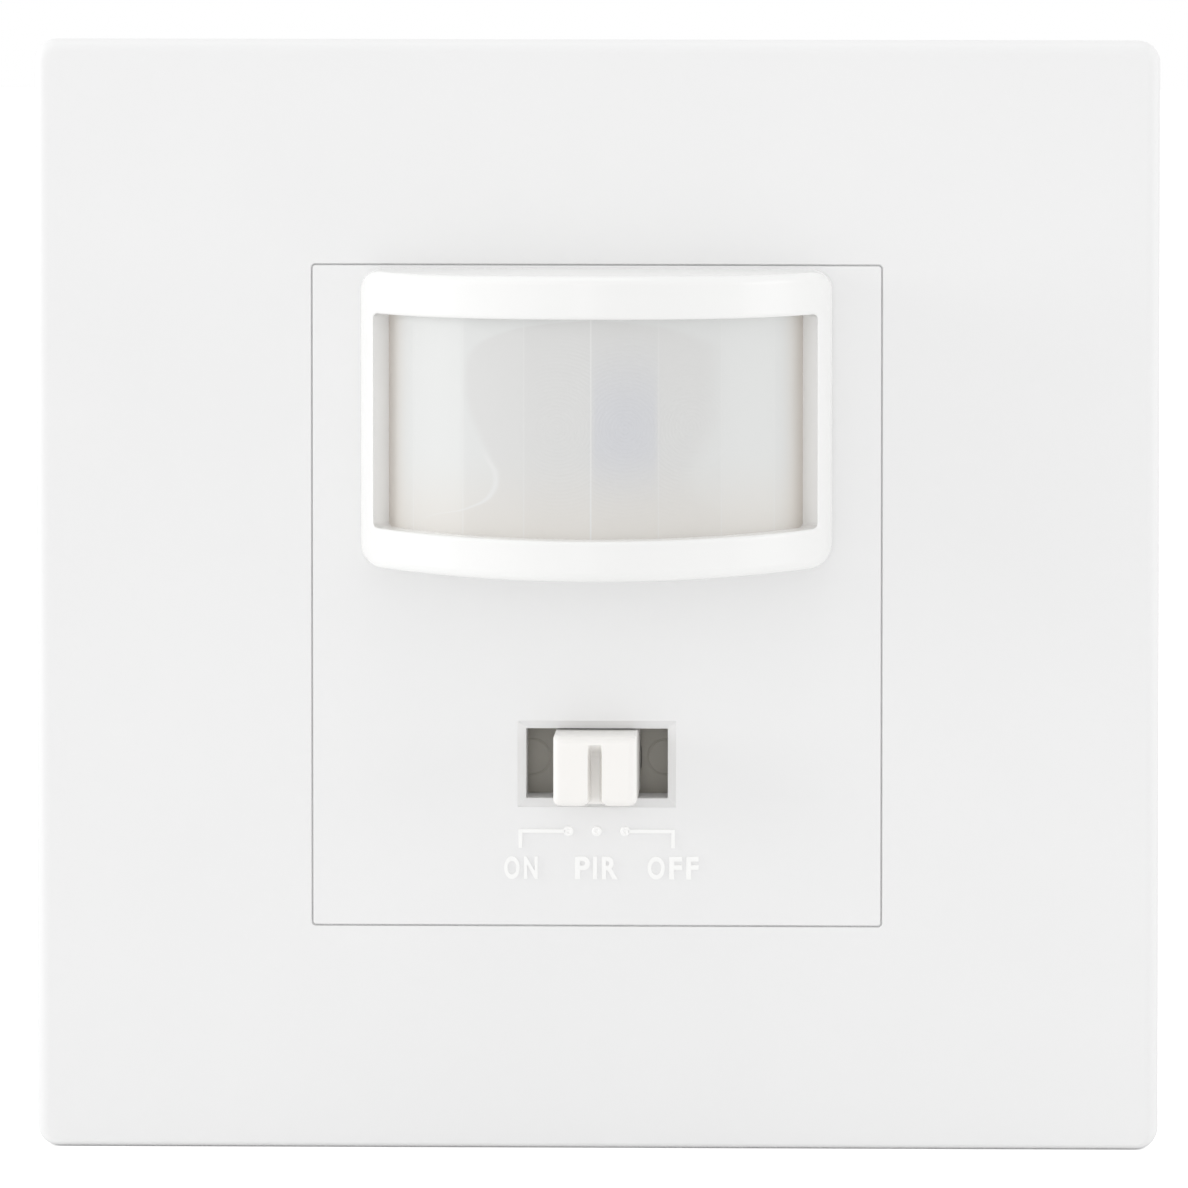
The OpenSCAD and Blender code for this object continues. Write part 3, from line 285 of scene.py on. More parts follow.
def blend_colours(tree, a, b, factor):
    """Colour a, going over to colour b with the factor."""
    node = add_node(tree, "Mix")
    node.data_type = "RGBA"
    feed_all(tree, node.inputs, {"A": a, "B": b, "Factor": factor})
    return node.outputs["Result"]


def new_group(name, inputs, outputs):
    """An empty shader node group, with what it is given and what it puts out."""
    tree = bpy.data.node_groups.new(name, "ShaderNodeTree")
    for kind, label, value in inputs:
        socket = tree.interface.new_socket(label, in_out="INPUT", socket_type="NodeSocket" + kind)
        if value is not None:
            socket.default_value = value
    for kind, label in outputs:
        tree.interface.new_socket(label, in_out="OUTPUT", socket_type="NodeSocket" + kind)
    return tree, tree.nodes.new("NodeGroupInput").outputs, tree.nodes.new("NodeGroupOutput").inputs


def use_group(tree, name, **values):
    """What a shared group puts out for the values."""
    node = add_node(tree, "Group")
    node.node_tree = bpy.data.node_groups[name]
    feed_all(tree, node.inputs, values)
    return node.outputs


# Finishes

def grain_group():
    """Moulded grain: fine noise for the bump, broad noise that shifts the roughness a little."""
    tree, given, result = new_group(
        "moulded_grain",
        [("Vector", "Place", None), ("Float", "Scale", 2500.0), ("Float", "Depth", 0.12),
         ("Float", "Roughness", 0.4), ("Float", "Spread", 0.06)],
        [("Float", "Roughness"), ("Vector", "Normal"), ("Float", "Mottle")])
    fine = add_node(tree, "TexNoise", Vector=given["Place"], Scale=given["Scale"], Detail=3)
    broad = add_node(tree, "TexNoise", Vector=given["Place"], Scale=90).outputs["Fac"]
    bump = add_node(tree, "Bump", Strength=given["Depth"], Distance=0.03 * MM, Height=fine.outputs["Fac"])
    shift = compute(tree, "SUBTRACT", broad, 0.5)
    rough = compute(tree, "MULTIPLY_ADD", shift, given["Spread"], given["Roughness"])
    feed_all(tree, result, {"Roughness": rough, "Normal": bump.outputs["Normal"], "Mottle": broad})


def streak_group():
    """Drawn metal: noise stretched along one way, for roughness, tone and bump."""
    tree, given, result = new_group(
        "drawn_streaks",
        [("Vector", "Place", None), ("Vector", "Stretch", (400.0, 6000.0, 6000.0)), ("Float", "Depth", 0.1),
         ("Float", "Roughness", 0.35), ("Float", "Spread", 0.2)],
        [("Float", "Roughness"), ("Vector", "Normal"), ("Float", "Tone")])
    stretch = add_node(tree, "VectorMath")
    stretch.operation = "MULTIPLY"
    feed(tree, stretch.inputs[0], given["Place"])
    feed(tree, stretch.inputs[1], given["Stretch"])
    lines = add_node(tree, "TexNoise", Vector=stretch.outputs[0], Scale=1, Detail=4).outputs["Fac"]
    bump = add_node(tree, "Bump", Strength=given["Depth"], Distance=0.02 * MM, Height=lines)
    shift = compute(tree, "SUBTRACT", lines, 0.5)
    rough = compute(tree, "MULTIPLY_ADD", shift, given["Spread"], given["Roughness"])
    tone = add_node(tree, "MapRange", Value=lines, From_Min=0.34, From_Max=0.66)
    feed_all(tree, result, {"Roughness": rough, "Normal": bump.outputs["Normal"], "Tone": tone.outputs["Result"]})


def behind_curve(tree, z):
    """Half the width of the painted shade behind the lens at a height, in metres, from the table BEHIND."""
    lowest, highest = BEHIND[0][0], BEHIND[-1][0]
    share = compute(tree, "DIVIDE", compute(tree, "SUBTRACT", z, lowest * MM), (highest - lowest) * MM)
    node = add_node(tree, "FloatCurve", Value=share)
    points = node.mapping.curves[0].points
    table = [((height - lowest) / (highest - lowest), half / BEHIND_WIDEST) for height, half in BEHIND]
    points[0].location = table[0]
    for place in table[1:-1]:
        points.new(*place)
    points[-1].location = table[-1]
    node.mapping.update()
    return compute(tree, "MULTIPLY", node.outputs[0], BEHIND_WIDEST * MM)


def lens_group():
    """The lens sheet's masks, from the angle round the hood's axis and the height.

    angle = atan2(x, axis - y); the sheet is cut into equal facets by angle, and rings run round the
    middle of each facet: height = sin(2 pi distance / pitch), fading with distance. Seams is a thin line
    at each facet's side. Behind is painted shade: the form behind the sheet, dim through it. Rim is a
    painted highlight, a bright line along the lower left of that shade. Centre is the cooler middle facet,
    Low a warmer tint towards the bottom, and Sides warm painted shade towards the sheet's left and right ends."""
    masks = ("Rings", "Seams", "Behind", "Rim", "Centre", "Low", "Sides")
    tree, given, result = new_group("lens_pattern", [("Vector", "Place", None)],
                                    [("Float", label) for label in masks])

    def calc(operation, *values):
        return compute(tree, operation, *values)

    def step(value, start, end):
        return smooth_step(tree, value, start, end)

    def distance(value, middle):
        return calc("ABSOLUTE", calc("SUBTRACT", value, middle))

    x, y, z = add_node(tree, "SeparateXYZ", Vector=given["Place"]).outputs
    angle = calc("ARCTAN2", x, calc("SUBTRACT", LENS_AXIS, y))
    place = calc("DIVIDE", calc("SUBTRACT", angle, FACET_START), FACET_TURN)
    local = calc("SUBTRACT", calc("FRACT", place), 0.5)
    across = calc("MULTIPLY", local, FACET_TURN * LENS_RADIUS)
    up = calc("SUBTRACT", z, SIGHT_Z * MM)
    away = calc("SQRT", calc("ADD", calc("MULTIPLY", across, across), calc("MULTIPLY", up, up)))
    off_middle = distance(place, MIDDLE_FACET)

    wave = calc("SINE", calc("MULTIPLY", away, 2 * math.pi / RING_PITCH))
    fade = step(away, 8.5 * MM, 0.5 * MM)
    rings = calc("MULTIPLY", calc("MULTIPLY", wave, fade), step(off_middle, 1.9, 0.2))
    strong = calc("MULTIPLY_ADD", step(distance(place, MIDDLE_FACET - 0.5), 0.6, 0.1), 0.6, 0.4)
    seams = calc("MULTIPLY", step(calc("ABSOLUTE", local), 0.480, 0.498), strong)

    # Painted shade: the form behind the sheet, dim through it
    half = behind_curve(tree, z)
    inside = calc("ADD", x, half)
    left = step(inside, -0.2 * MM, 0.6 * MM)
    right = step(calc("SUBTRACT", calc("MINIMUM", half, 8.8 * MM), x), -1.0 * MM, 1.2 * MM)
    # A painted highlight: a bright line along the lower left edge of that painted shade
    rim = calc("MULTIPLY", step(calc("ABSOLUTE", inside), 0.35 * MM, 0.0),
               step(distance(z, 8.8 * MM), 3.0 * MM, 1.2 * MM))
    centre = calc("MULTIPLY", step(off_middle, 0.56, 0.40), step(away, 7.8 * MM, 0.0))
    # Painted shade towards the sheet's left and right ends, by the window's walls
    sides = step(calc("ABSOLUTE", angle), math.radians(50), math.radians(62))
    feed_all(tree, result, {"Rings": rings, "Seams": seams, "Behind": calc("MULTIPLY", left, right), "Rim": rim,
                            "Centre": centre, "Low": step(z, 11.5 * MM, 4.5 * MM), "Sides": sides})


def blank(name):
    """A material with its node tree, its shader's inputs and the object's own coordinates.

    Its name ends in _finish, because the solids bring plain materials named after the slots."""
    material = bpy.data.materials.new(name + "_finish")
    material.use_nodes = True
    tree = material.node_tree
    return material, tree, tree.nodes["Principled BSDF"].inputs, add_node(tree, "TexCoord").outputs["Object"]


def lens_sheet(name, colour):
    """Milky sheet: its colour changed where each mask of the lens pattern says, painted shade where Behind and Sides
    say and a painted highlight along Rim, with fine rings as bump.
    """
    material, tree, shader, place = blank(name)
    masks = use_group(tree, "lens_pattern", Place=place)
    # Lighter colour for the facet seams, and also for the painted highlight along Rim
    seam_and_highlight = linear(226, 226, 225)
    tone = colour
    # Behind and Sides tint painted shade, and Rim a painted highlight
    for mask, tint in (("Behind", linear(218, 218, 217)), ("Centre", linear(210, 211, 215)),
                       ("Low", linear(221, 218, 213)), ("Sides", linear(212, 205, 197)),
                       ("Seams", seam_and_highlight), ("Rim", seam_and_highlight)):
        tone = blend_colours(tree, tone, tint, masks[mask])
    bump = add_node(tree, "Bump", Strength=0.35, Distance=0.02 * MM, Height=masks["Rings"])
    feed_all(tree, shader, {"Base Color": tone, "Normal": bump.outputs["Normal"], "Roughness": 0.32, "IOR": 1.5})


def plastic(name, colour, roughness, depth=0.12, scale=2500.0, spread=0.06, mottle=0.02):
    """Moulded plastic: one colour with the faintest cloudiness, and a fine grain."""
    material, tree, shader, place = blank(name)
    grain = use_group(tree, "moulded_grain", Place=place, Scale=scale, Depth=depth, Roughness=roughness,
                      Spread=spread)
    tone = colour
    if mottle:
        darker = tuple(c * (1 - mottle) for c in colour[:3]) + (1.0,)
        tone = blend_colours(tree, colour, darker, grain["Mottle"])
    feed_all(tree, shader, {"Base Color": tone, "Roughness": grain["Roughness"], "Normal": grain["Normal"],
                            "IOR": 1.5})


def metal(name, bright, dark, roughness, stretch=(400.0, 6000.0, 6000.0), depth=0.1, spread=0.2):
    """Drawn or stamped metal, its tone following the same lines as its gloss."""
    material, tree, shader, place = blank(name)
    streaks = use_group(tree, "drawn_streaks", Place=place, Stretch=stretch, Depth=depth, Roughness=roughness,
                        Spread=spread)
    feed_all(tree, shader, {"Base Color": blend_colours(tree, dark, bright, streaks["Tone"]),
                            "Roughness": streaks["Roughness"], "Normal": streaks["Normal"], "Metallic": 1.0})


def finish(name):
    """A finish that the finishes operator has made."""
    return bpy.data.materials[name + "_finish"]


# Plastics: name, screen colour, roughness, and where its grain differs from the usual one
PLASTICS = (
    # The marks' plastic is whiter than the panel's: partly their own finish, partly a painted highlight of their
    # raised relief
    ("mark_white_and_highlight", (254, 254, 253), 0.35, {"depth": 0.03, "mottle": 0.0}),
    ("switch_grey", (214, 210, 200), 0.45, {"depth": 0.15}),
    ("slider_grey", (196, 192, 184), 0.45, {"depth": 0.15}),
    ("knob_gloss", (252, 250, 247), 0.25, {"depth": 0.03}),
    ("inner_plastic", (214, 215, 214), 0.45, {"depth": 0.6}),
    ("black_moulding", (38, 38, 40), 0.4, {"depth": 0.6}),
    ("terminal_plastic", (62, 66, 70), 0.48, {"depth": 0.7}),
    ("board_laminate", (30, 92, 56), 0.32, {"depth": 0.3, "scale": 1300.0, "mottle": 0.25}),
    ("relay_blue", (52, 92, 168), 0.3, {"depth": 0.08}),
    ("film_yellow", (226, 196, 62), 0.32, {"depth": 0.1}),
    ("sleeve_dark", (34, 38, 58), 0.3, {"depth": 0.05}),
    ("varistor_blue", (34, 96, 176), 0.36, {"depth": 0.35, "scale": 900.0}),
    ("fuse_ceramic", (226, 224, 214), 0.45, {"depth": 0.15}),
    ("resistor_coat", (138, 178, 190), 0.4, {"depth": 0.2}),
    ("trimmer_body", (40, 82, 156), 0.36, {"depth": 0.1}),
    ("filter_glass", (28, 24, 30), 0.12, {"depth": 0.0}),
    ("cell_coat", (206, 108, 62), 0.4, {"depth": 0.2}),
)

# Metals: name, screen colours of the bright and dark streaks, roughness, and where the streaks differ
METALS = (
    ("zinc_steel", (210, 212, 216), (186, 189, 195), 0.32, {"stretch": (110.0, 2600.0, 2600.0)}),
    ("tinned_metal", (222, 222, 220), (186, 187, 186), 0.26, {}),
    ("brass_strip", (224, 190, 112), (176, 138, 70), 0.28, {}),
    ("soft_iron", (170, 172, 176), (126, 129, 134), 0.38, {}),
    ("copper_winding", (214, 122, 74), (138, 62, 34), 0.3, {"stretch": (11000.0, 400.0, 400.0), "depth": 0.5}),
)

# Finish of each material slot in the record, where it isn't the slot's own name
FINISH_OF_SLOT = {"frame_plastic": "cover_satin", "panel_plastic": "panel_satin", "hood_plastic": "hood_gloss",
                  "lens_sheet": "inner_plastic", "knob_plastic": "knob_gloss"}


# Settings

def colour_setting(name, description, *screen):
    """A colour that the user can change, its default given in screen values."""
    return FloatVectorProperty(name=name, description=description, subtype="COLOR", size=4, min=0, max=1,
                               default=linear(*screen))


class SwitchColours(bpy.types.PropertyGroup):
    """Colours of the visible mouldings."""
    cover: colour_setting("Cover frame", "Colour of the satin cover frame", 243, 243, 243)
    panel: colour_setting("Front panel", "Colour of the front panel", 243, 243, 243)
    hood: colour_setting("Hood", "Colour of the glossy hood", 247, 247, 246)
    lens: colour_setting("Lens", "Colour of the milky lens sheet", 222, 223, 222)
    housing: colour_setting("Housing", "Colour of the rear housing", 196, 198, 200)


class SwitchSizes(bpy.types.PropertyGroup):
    """Roundings and reliefs that the solids leave out, in millimetres."""
    frame_edge: FloatProperty(name="Frame edge", description="Rounding of the frame's front edge",
                              default=0.9, min=0.3, max=1.2)
    gap_edge: FloatProperty(name="Gap edges", description="Rounding on both sides of the panel's gap",
                            default=0.07, min=0.05, max=0.4)
    gap_depth: FloatProperty(name="Gap depth", description="From the front to the ledge in the panel's gap",
                             default=0.27, min=0.15, max=1.0)
    hood_edge: FloatProperty(name="Hood edge", description="Rounding of the hood's outer edges",
                             default=0.6, min=0.3, max=0.9)
    relief: FloatProperty(name="Relief", description="Height of the marks and words",
                          default=0.12, min=0.05, max=0.3)
    letter_height: FloatProperty(name="Letter height", description="Height of the capital letters",
                                 default=1.64, min=1.0, max=2.5)


# Pieces

def size_of(node):
    """Lowest and highest corner of a solid in millimetres, as two arrays."""
    low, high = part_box(node)
    return np.array(low) / MM, np.array(high) / MM


class SWITCH_OT_finishes(bpy.types.Operator):
    """Makes the finishes and gives each carried-over solid its own"""
    bl_idname = "switch.finishes"
    bl_label = "Finishes"

    def execute(self, context):
        colours = context.scene.switch_colours
        grain_group()
        streak_group()
        lens_group()
        lens_sheet("lens_milk", tuple(colours.lens))
        plastic("cover_satin", tuple(colours.cover), 0.42)
        plastic("panel_satin", tuple(colours.panel), 0.40)
        plastic("hood_gloss", tuple(colours.hood), 0.22, depth=0.03)
        plastic("housing_plastic", tuple(colours.housing), 0.5, depth=0.8, scale=1800.0, mottle=0.06)
        for name, colour, roughness, grain in PLASTICS:
            plastic(name, linear(*colour), roughness, **grain)
        for name, bright, dark, roughness, streaks in METALS:
            metal(name, linear(*bright), linear(*dark), roughness, **streaks)
        for part in frame["record"]["subparts"]:
            slot = part["material_slot"]
            materials = frame["nodes"][part["node"]].data.materials
            materials.clear()
            materials.append(finish(FINISH_OF_SLOT.get(slot, slot)))
        return {"FINISHED"}


class SWITCH_OT_cover_frame(bpy.types.Operator):
    """The square cover frame: one ring from its wall rim over the face into the opening, with posts"""
    bl_idname = "switch.cover_frame"
    bl_label = "Cover frame"

    def execute(self, context):
        sizes = context.scene.switch_sizes
        low, high = size_of("outer_frame")
        w, h, face, rear = high[0] - low[0], high[2] - low[2], low[1], high[1]
        low, high = size_of("front_panel")
        open_w, open_h = high[0] - low[0] + 0.17, high[2] - low[2] + 0.2
        draft, walls, lip, collar = 2 * 0.7, 2 * 2.0, 2 * 0.15, 2 * 1.2
        inside, collar_end, ledge = face + 2, -4.9, face + sizes.gap_depth
        rows = np.vstack([
            edge(row(w - draft, h - draft, 1.0, rear), SHRINK, AHEAD, 0.2, 3),
            edge(row(w, h, 1.6, face), BACK, SHRINK * LOW_SHARP, sizes.frame_edge, 8),
            edge(row(open_w, open_h, 0.3, face), GROW, BACK, sizes.gap_edge, 4),
            row(open_w, open_h, 0.3, ledge),
            row(open_w - lip, open_h - lip, 0.2, ledge),
            row(open_w - lip, open_h - lip, 0.2, ledge + 0.5),
            row(open_w, open_h, 0.3, ledge + 0.6),
            row(open_w, open_h, 0.7, collar_end),
            row(open_w + collar, open_h + collar, 1.9, collar_end),
            row(open_w + collar, open_h + collar, 1.9, inside),
            row(w - walls, h - walls, 1.0, inside),
            row(w - walls, h - walls, 1.0, rear),
        ])
        parts = [skin(levels(rows, arc=8), closed=True)] + pins(radius=1.4, tip=-0.1, across=30, up=22)
        make_piece("cover_frame", parts, finish("cover_satin"), "cover_frame", ["outer_frame"])
        return {"FINISHED"}


class SWITCH_OT_front_panel(bpy.types.Operator):
    """The front panel: rounded rim and skirt, chamfered slot with its chute, sight opening and pegs"""
    bl_idname = "switch.front_panel"
    bl_label = "Front panel"

    def execute(self, context):
        sizes = context.scene.switch_sizes
        low, high = size_of("front_panel")
        w, h = high[0] - low[0] - 0.05, high[2] - low[2] - 0.02
        lip, skirt, skirt_end, ledge = 2 * 0.15, 2 * 1.2, -4.6, PANEL_FACE + sizes.gap_depth - 0.05
        rim = np.vstack([
            edge(row(w, h, 0.22, PANEL_FACE), SHRINK, BACK, sizes.gap_edge, 4),
            row(w, h, 0.22, ledge),
            row(w - lip, h - lip, 0.2, ledge),
            row(w - lip, h - lip, 0.2, skirt_end),
            row(w - skirt, h - skirt, 0.3, skirt_end),
            row(w - skirt, h - skirt, 0.3, PANEL_REAR),
        ])
        slot_w, slot_h, chute, chute_end = 10.2, 5.05, 2 * 0.9, -4.4
        border = row(slot_w, slot_h, 0.08, PANEL_FACE, 0, SLOT_Z)
        # How much wider than the slot, and how deep, each level of its chamfer is
        chamfer = ((0.66, 0), (0.6, 0), (0.6, 0.12), (0.55, 0.16), (0.05, 0.5), (0, 0.55), (0, 0.6))
        slot = np.vstack([border + wider * WIDEN + deep * BACK for wider, deep in chamfer] + [
            row(slot_w, slot_h, 0.08, chute_end, 0, SLOT_Z),
            row(slot_w + chute, slot_h + chute, 0.25, chute_end, 0, SLOT_Z),
            row(slot_w + chute, slot_h + chute, 0.25, PANEL_REAR, 0, SLOT_Z),
        ])
        sight = np.vstack([row(28.4, 17.6, 0.2, depth, 0, SIGHT_Z) for depth in (PANEL_FACE, PANEL_REAR)])
        grids = [levels(rows, arc=5) for rows in (rim, slot, sight)]
        parts = [skin(grid) for grid in grids]
        parts += [flat(*(grid[k] for grid in grids)) for k in (0, -1)]
        parts += pins(radius=1.3, tip=-2.7, across=18, up=20.6)
        make_piece("panel_face", parts, finish("panel_satin"), "panel", ["front_panel"])
        return {"FINISHED"}


def bow(points, half, reach, rise_low, rise_high, low, high):
    """Bows level edges: z gains rise (1 - (x / half)^2) times how far the point stands out from the panel.

    The rise goes evenly from rise_low at low to rise_high at high, so the foot stays straight. All are
    millimetres, and the points are metres."""
    x, y, z = points[..., 0] / MM, points[..., 1] / MM, points[..., 2] / MM
    share = np.clip((z - low) / (high - low), 0, 1)
    rise = rise_low * (1 - share) + rise_high * share
    out = np.clip((PANEL_FACE - y) / reach, 0, 1)
    points[..., 2] += rise * out * np.clip(1 - (x / half) ** 2, 0, 1) * MM


class SWITCH_OT_sensor_hood(bpy.types.Operator):
    """The bulging hood: level rings laid on upright cylinders, with its window and hollow back"""
    bl_idname = "switch.sensor_hood"
    bl_label = "Sensor hood"

    def execute(self, context):
        outer, cavity = 18.7 * MM, 17.2 * MM
        shell, hollow, tab = (33.8, 21.25, 1.5), (2 * 16.04, 18.6, 0.4), (0.8, 10, 0.15)
        shell_z = SIGHT_Z + 0.075

        def ring(rows, radius=None):
            """Levels at their own depth or, with a radius, laid on a cylinder: y gains axis - sqrt(r^2 - x^2)."""
            grid = levels(rows, arc=8, along_x=64, along_z=12)
            if radius:
                x = np.clip(grid[..., 0], -radius, radius)
                grid[..., 1] += LENS_AXIS - np.sqrt(radius ** 2 - x ** 2)
            return grid

        grid = np.concatenate([
            ring(row(*shell, PANEL_FACE, 0, shell_z)),
            ring(edge(row(*shell, 0, 0, shell_z), BACK, SHRINK, context.scene.switch_sizes.hood_edge, 8), outer),
            ring(edge(row(31.8, 15.4, 0.35, 0, 0, SIGHT_Z), GROW, BACK, 0.25, 5), outer),
            ring(row(29.6, 15.4, 0.3, 0, 0, SIGHT_Z), cavity - 0.15 * MM),
            ring(row(*hollow, 0, 0, SIGHT_Z), cavity),
            ring(row(*hollow, PANEL_FACE, 0, SIGHT_Z)),
        ])
        grid[..., 1] = np.minimum(grid[..., 1], PANEL_FACE * MM)
        bow(grid, half=16.9, reach=12.5, rise_low=-0.32, rise_high=0.3, low=2.35, high=23.6)
        parts = [skin(grid, closed=True)]
        for x in (-16.4, 16.4):
            ends = levels(np.vstack([row(*tab, depth, x, SIGHT_Z) for depth in (-9.9, -6.6)]))
            parts += [skin(ends), cap(ends[0]), cap(ends[1])]
        make_piece("hood_shell", parts, finish("hood_gloss"), "panel", ["lens_hood"],
                   smooth=40)
        return {"FINISHED"}


class SWITCH_OT_fresnel_lens(bpy.types.Operator):
    """The milky lens sheet: upright facets bent round the hood's axis"""
    bl_idname = "switch.fresnel_lens"
    bl_label = "Lens sheet"

    def execute(self, context):
        low, high = size_of("fresnel_lens")
        reach = math.asin(high[0] * MM / LENS_RADIUS)
        thickness, flattening = 0.5 * MM, 0.35
        a, z = np.meshgrid(np.linspace(-reach, reach, 181), np.linspace(low[2], high[2], 7) * MM, indexing="ij")
        # Each facet lies a share of the way from the circle to its chord: r cos(half) / cos(angle from its middle)
        middle = (np.floor((a - FACET_START) / FACET_TURN) + 0.5) * FACET_TURN + FACET_START
        chord = LENS_RADIUS * math.cos(FACET_TURN / 2) / np.cos(a - middle)
        radius = LENS_RADIUS + flattening * (chord - LENS_RADIUS)
        # An upright sheet: x = r sin(angle), y = axis - r cos(angle)
        front, rear = (np.stack([r * np.sin(a), LENS_AXIS - r * np.cos(a), z], -1)
                       for r in (radius, radius - thickness))
        parts = [skin(np.concatenate([front, rear[:, ::-1]], 1))]
        parts += [(np.vstack([front[k], rear[k]]), quads(2, z.shape[1], round_=False)) for k in (0, -1)]
        make_piece("lens_facets", parts, finish("lens_milk"), "panel", ["fresnel_lens"],
                   smooth=50)
        return {"FINISHED"}


def round_off(distance, radius):
    """Depth of a quarter-round edge: r - sqrt(r^2 - (r - distance)^2) within r of the edge."""
    near = np.clip(radius - distance, 0, radius)
    return radius - np.sqrt(np.maximum(radius ** 2 - near ** 2, 0))


class SWITCH_OT_selector_knob(bpy.types.Operator):
    """The slide knob: one block with two lobes, a groove between them and a band over it"""
    bl_idname = "switch.selector_knob"
    bl_label = "Selector knob"

    def execute(self, context):
        low, high = size_of("selector_knob")
        half_w, face, rear = high[0], low[1], high[1]
        bottom, top = low[2] - 0.22, high[2]
        # The front is a grid of heights, closer at both ends, by shares of the half width, closer at the groove
        z = bottom + (top - bottom) * (1 - np.cos(np.linspace(0, math.pi, 49))) / 2
        groove, groove_edge, groove_depth = 0.43, 0.22, 1.7
        inner = groove * np.concatenate([np.linspace(0, 0.65, 5)[:-1], np.linspace(0.65, 1.4, 13)])
        outer = inner[-1] + (half_w - inner[-1]) * np.sin(np.linspace(0, QUARTER, 24))[1:]
        share = np.concatenate([inner, outer]) / half_w
        zz, uu = np.meshgrid(z, np.concatenate([-share[:0:-1], share]), indexing="ij")
        above, below = zz - bottom, top - zz
        # Half the width at each height, with rounded lower and upper corners, and the rounded front's depth
        plan = half_w - round_off(above, 0.5) - round_off(below, 0.2)
        xx = uu * plan
        depth = round_off(plan - np.abs(xx), 0.55) + round_off(above, 0.55) + round_off(below, 0.6)
        # The groove flares at its foot, ends in a quarter round under the band, and has eased sides
        flare = groove + round_off(above, 0.45)
        cut = np.clip((flare + 0.1 - np.abs(xx)) / groove_edge, 0, 1)
        cut = cut * cut * (3 - 2 * cut)
        deep = groove_depth * np.sin(np.clip((below - 0.65) / 1.1, 0, 1) * QUARTER)
        front = np.stack([xx, np.minimum(face + np.maximum(depth, cut * deep + depth * 0.5), rear), zz], -1)
        rim = np.concatenate([front[0], front[1:-1, -1], front[-1, ::-1], front[-2:0:-1, 0]])
        # Behind its front the block goes straight back, and loses its lower lip before it enters the slot
        overhang, neck_start = -9.75, -9.5
        under, neck = rim.copy(), rim.copy()
        under[:, 1] = np.maximum(rim[:, 1], overhang)
        neck[:, 1] = neck_start
        neck[:, 2] = np.maximum(neck[:, 2], low[2])
        back = neck.copy()
        back[:, 1] = rear
        parts = [skin(front * MM, round_=False), skin(np.stack([rim, under, neck, back]) * MM), cap(back * MM)]
        make_piece("knob_block", parts, finish("knob_gloss"), "selector", ["selector_knob"],
                   smooth=35)
        return {"FINISHED"}


class SWITCH_OT_switch_face(bpy.types.Operator):
    """The slide switch's dark face at the bottom of the slot, with two pressed rings and the stem's opening"""
    bl_idname = "switch.switch_face"
    bl_label = "Switch face"

    def execute(self, context):
        low, high = size_of("switch_shell")
        w, h, face, rear = high[0] - low[0], high[2] - low[2], low[1], high[1]
        mid, sheet = (low[2] + high[2]) / 2, 0.3
        inner = (w - 2 * sheet, h - 2 * sheet, 0.3)
        shell = np.vstack([
            edge(row(w, h, 0.4, face, 0, mid), SHRINK, BACK, 0.12, 3),
            row(w, h, 0.4, rear, 0, mid),
            row(*inner, rear, 0, mid),
            row(*inner, face + sheet, 0, mid),
        ])
        hole = np.vstack([row(6.2, 1.9, 0.3, depth, 0, mid) for depth in (face, face + sheet)])
        shell_grid, hole_grid = levels(shell, arc=4), levels(hole, arc=4)
        ridge = [(1.36, face), (1.33, face - 0.05), (1.24, face - 0.05), (1.2, face)]
        rings = []
        for x in (-4.8, 4.8):
            points, _ = turned(ridge, x, mid, steps=40)
            rings.append(points.reshape(len(ridge), -1, 3))
        parts = [skin(shell_grid), skin(hole_grid), flat(shell_grid[-1], hole_grid[-1]),
                 flat(shell_grid[0], hole_grid[0], *(ring[0] for ring in rings))]
        for ring in rings:
            parts += [skin(ring), flat(ring[-1])]
        make_piece("switch_face", parts, finish("switch_grey"), "switch_unit", ["switch_shell"])

        low, high = size_of("switch_slider")
        height, plate_y = high[2] - low[2], face + 0.35
        plate = np.vstack([edge(row(7.8, height, 0.3, plate_y, 0, mid), SHRINK, BACK, 0.1, 2),
                           row(7.8, height, 0.3, high[1], 0, mid)])
        stem = np.vstack([edge(row(2.0, 1.6, 0.2, low[1], 0, mid), SHRINK, BACK, 0.1, 2),
                          row(2.0, 1.6, 0.2, plate_y, 0, mid)])
        plate, stem = levels(plate, arc=4), levels(stem, arc=4)
        parts = [skin(plate), skin(stem), flat(plate[0], stem[-1]), flat(plate[-1]), flat(stem[0])]
        make_piece("slider_plate", parts, finish("slider_grey"), "selector", ["switch_slider"])
        return {"FINISHED"}


class SWITCH_OT_position_marks(bpy.types.Operator):
    """Three dots below the slot, with the brackets that lead the outer two to their words"""
    bl_idname = "switch.position_marks"
    bl_label = "Position marks"

    def execute(self, context):
        top = PANEL_FACE - context.scene.switch_sizes.relief - 0.02
        foot = PANEL_FACE + 0.1
        dot = [(0, foot), (0.37, foot), (0.36, top + 0.05), (0.29, top), (0.17, top), (0.1, top + 0.07),
               (0, top + 0.07)]
        parts = [turned(dot, x, MARKS_Z, 24) for x in (-2.04, 0.0, 2.04)]
        near, far, half_line, drop = 2.3, 5.5, 0.13, 1.22
        for side in (-1, 1):
            bracket = np.array([[near, half_line], [far + half_line, half_line], [far + half_line, -drop],
                                [far - half_line, -drop], [far - half_line, -half_line], [near, -half_line]])
            parts += relief((bracket + (0, MARKS_Z)) * MM * (side, 1), top * MM, foot * MM)
        make_piece("position_marks", parts, finish("mark_white_and_highlight"), "panel")
        return {"FINISHED"}


# The letters of the position words, each with its left and right end on the panel
LETTERS = (("O", -6.66, -5.55), ("N", -5.24, -4.25), ("P", -1.56, -0.48), ("I", -0.27, 0.03), ("R", 0.37, 1.50),
           ("O", 3.67, 4.90), ("F", 5.22, 6.14), ("F", 6.45, 7.33))


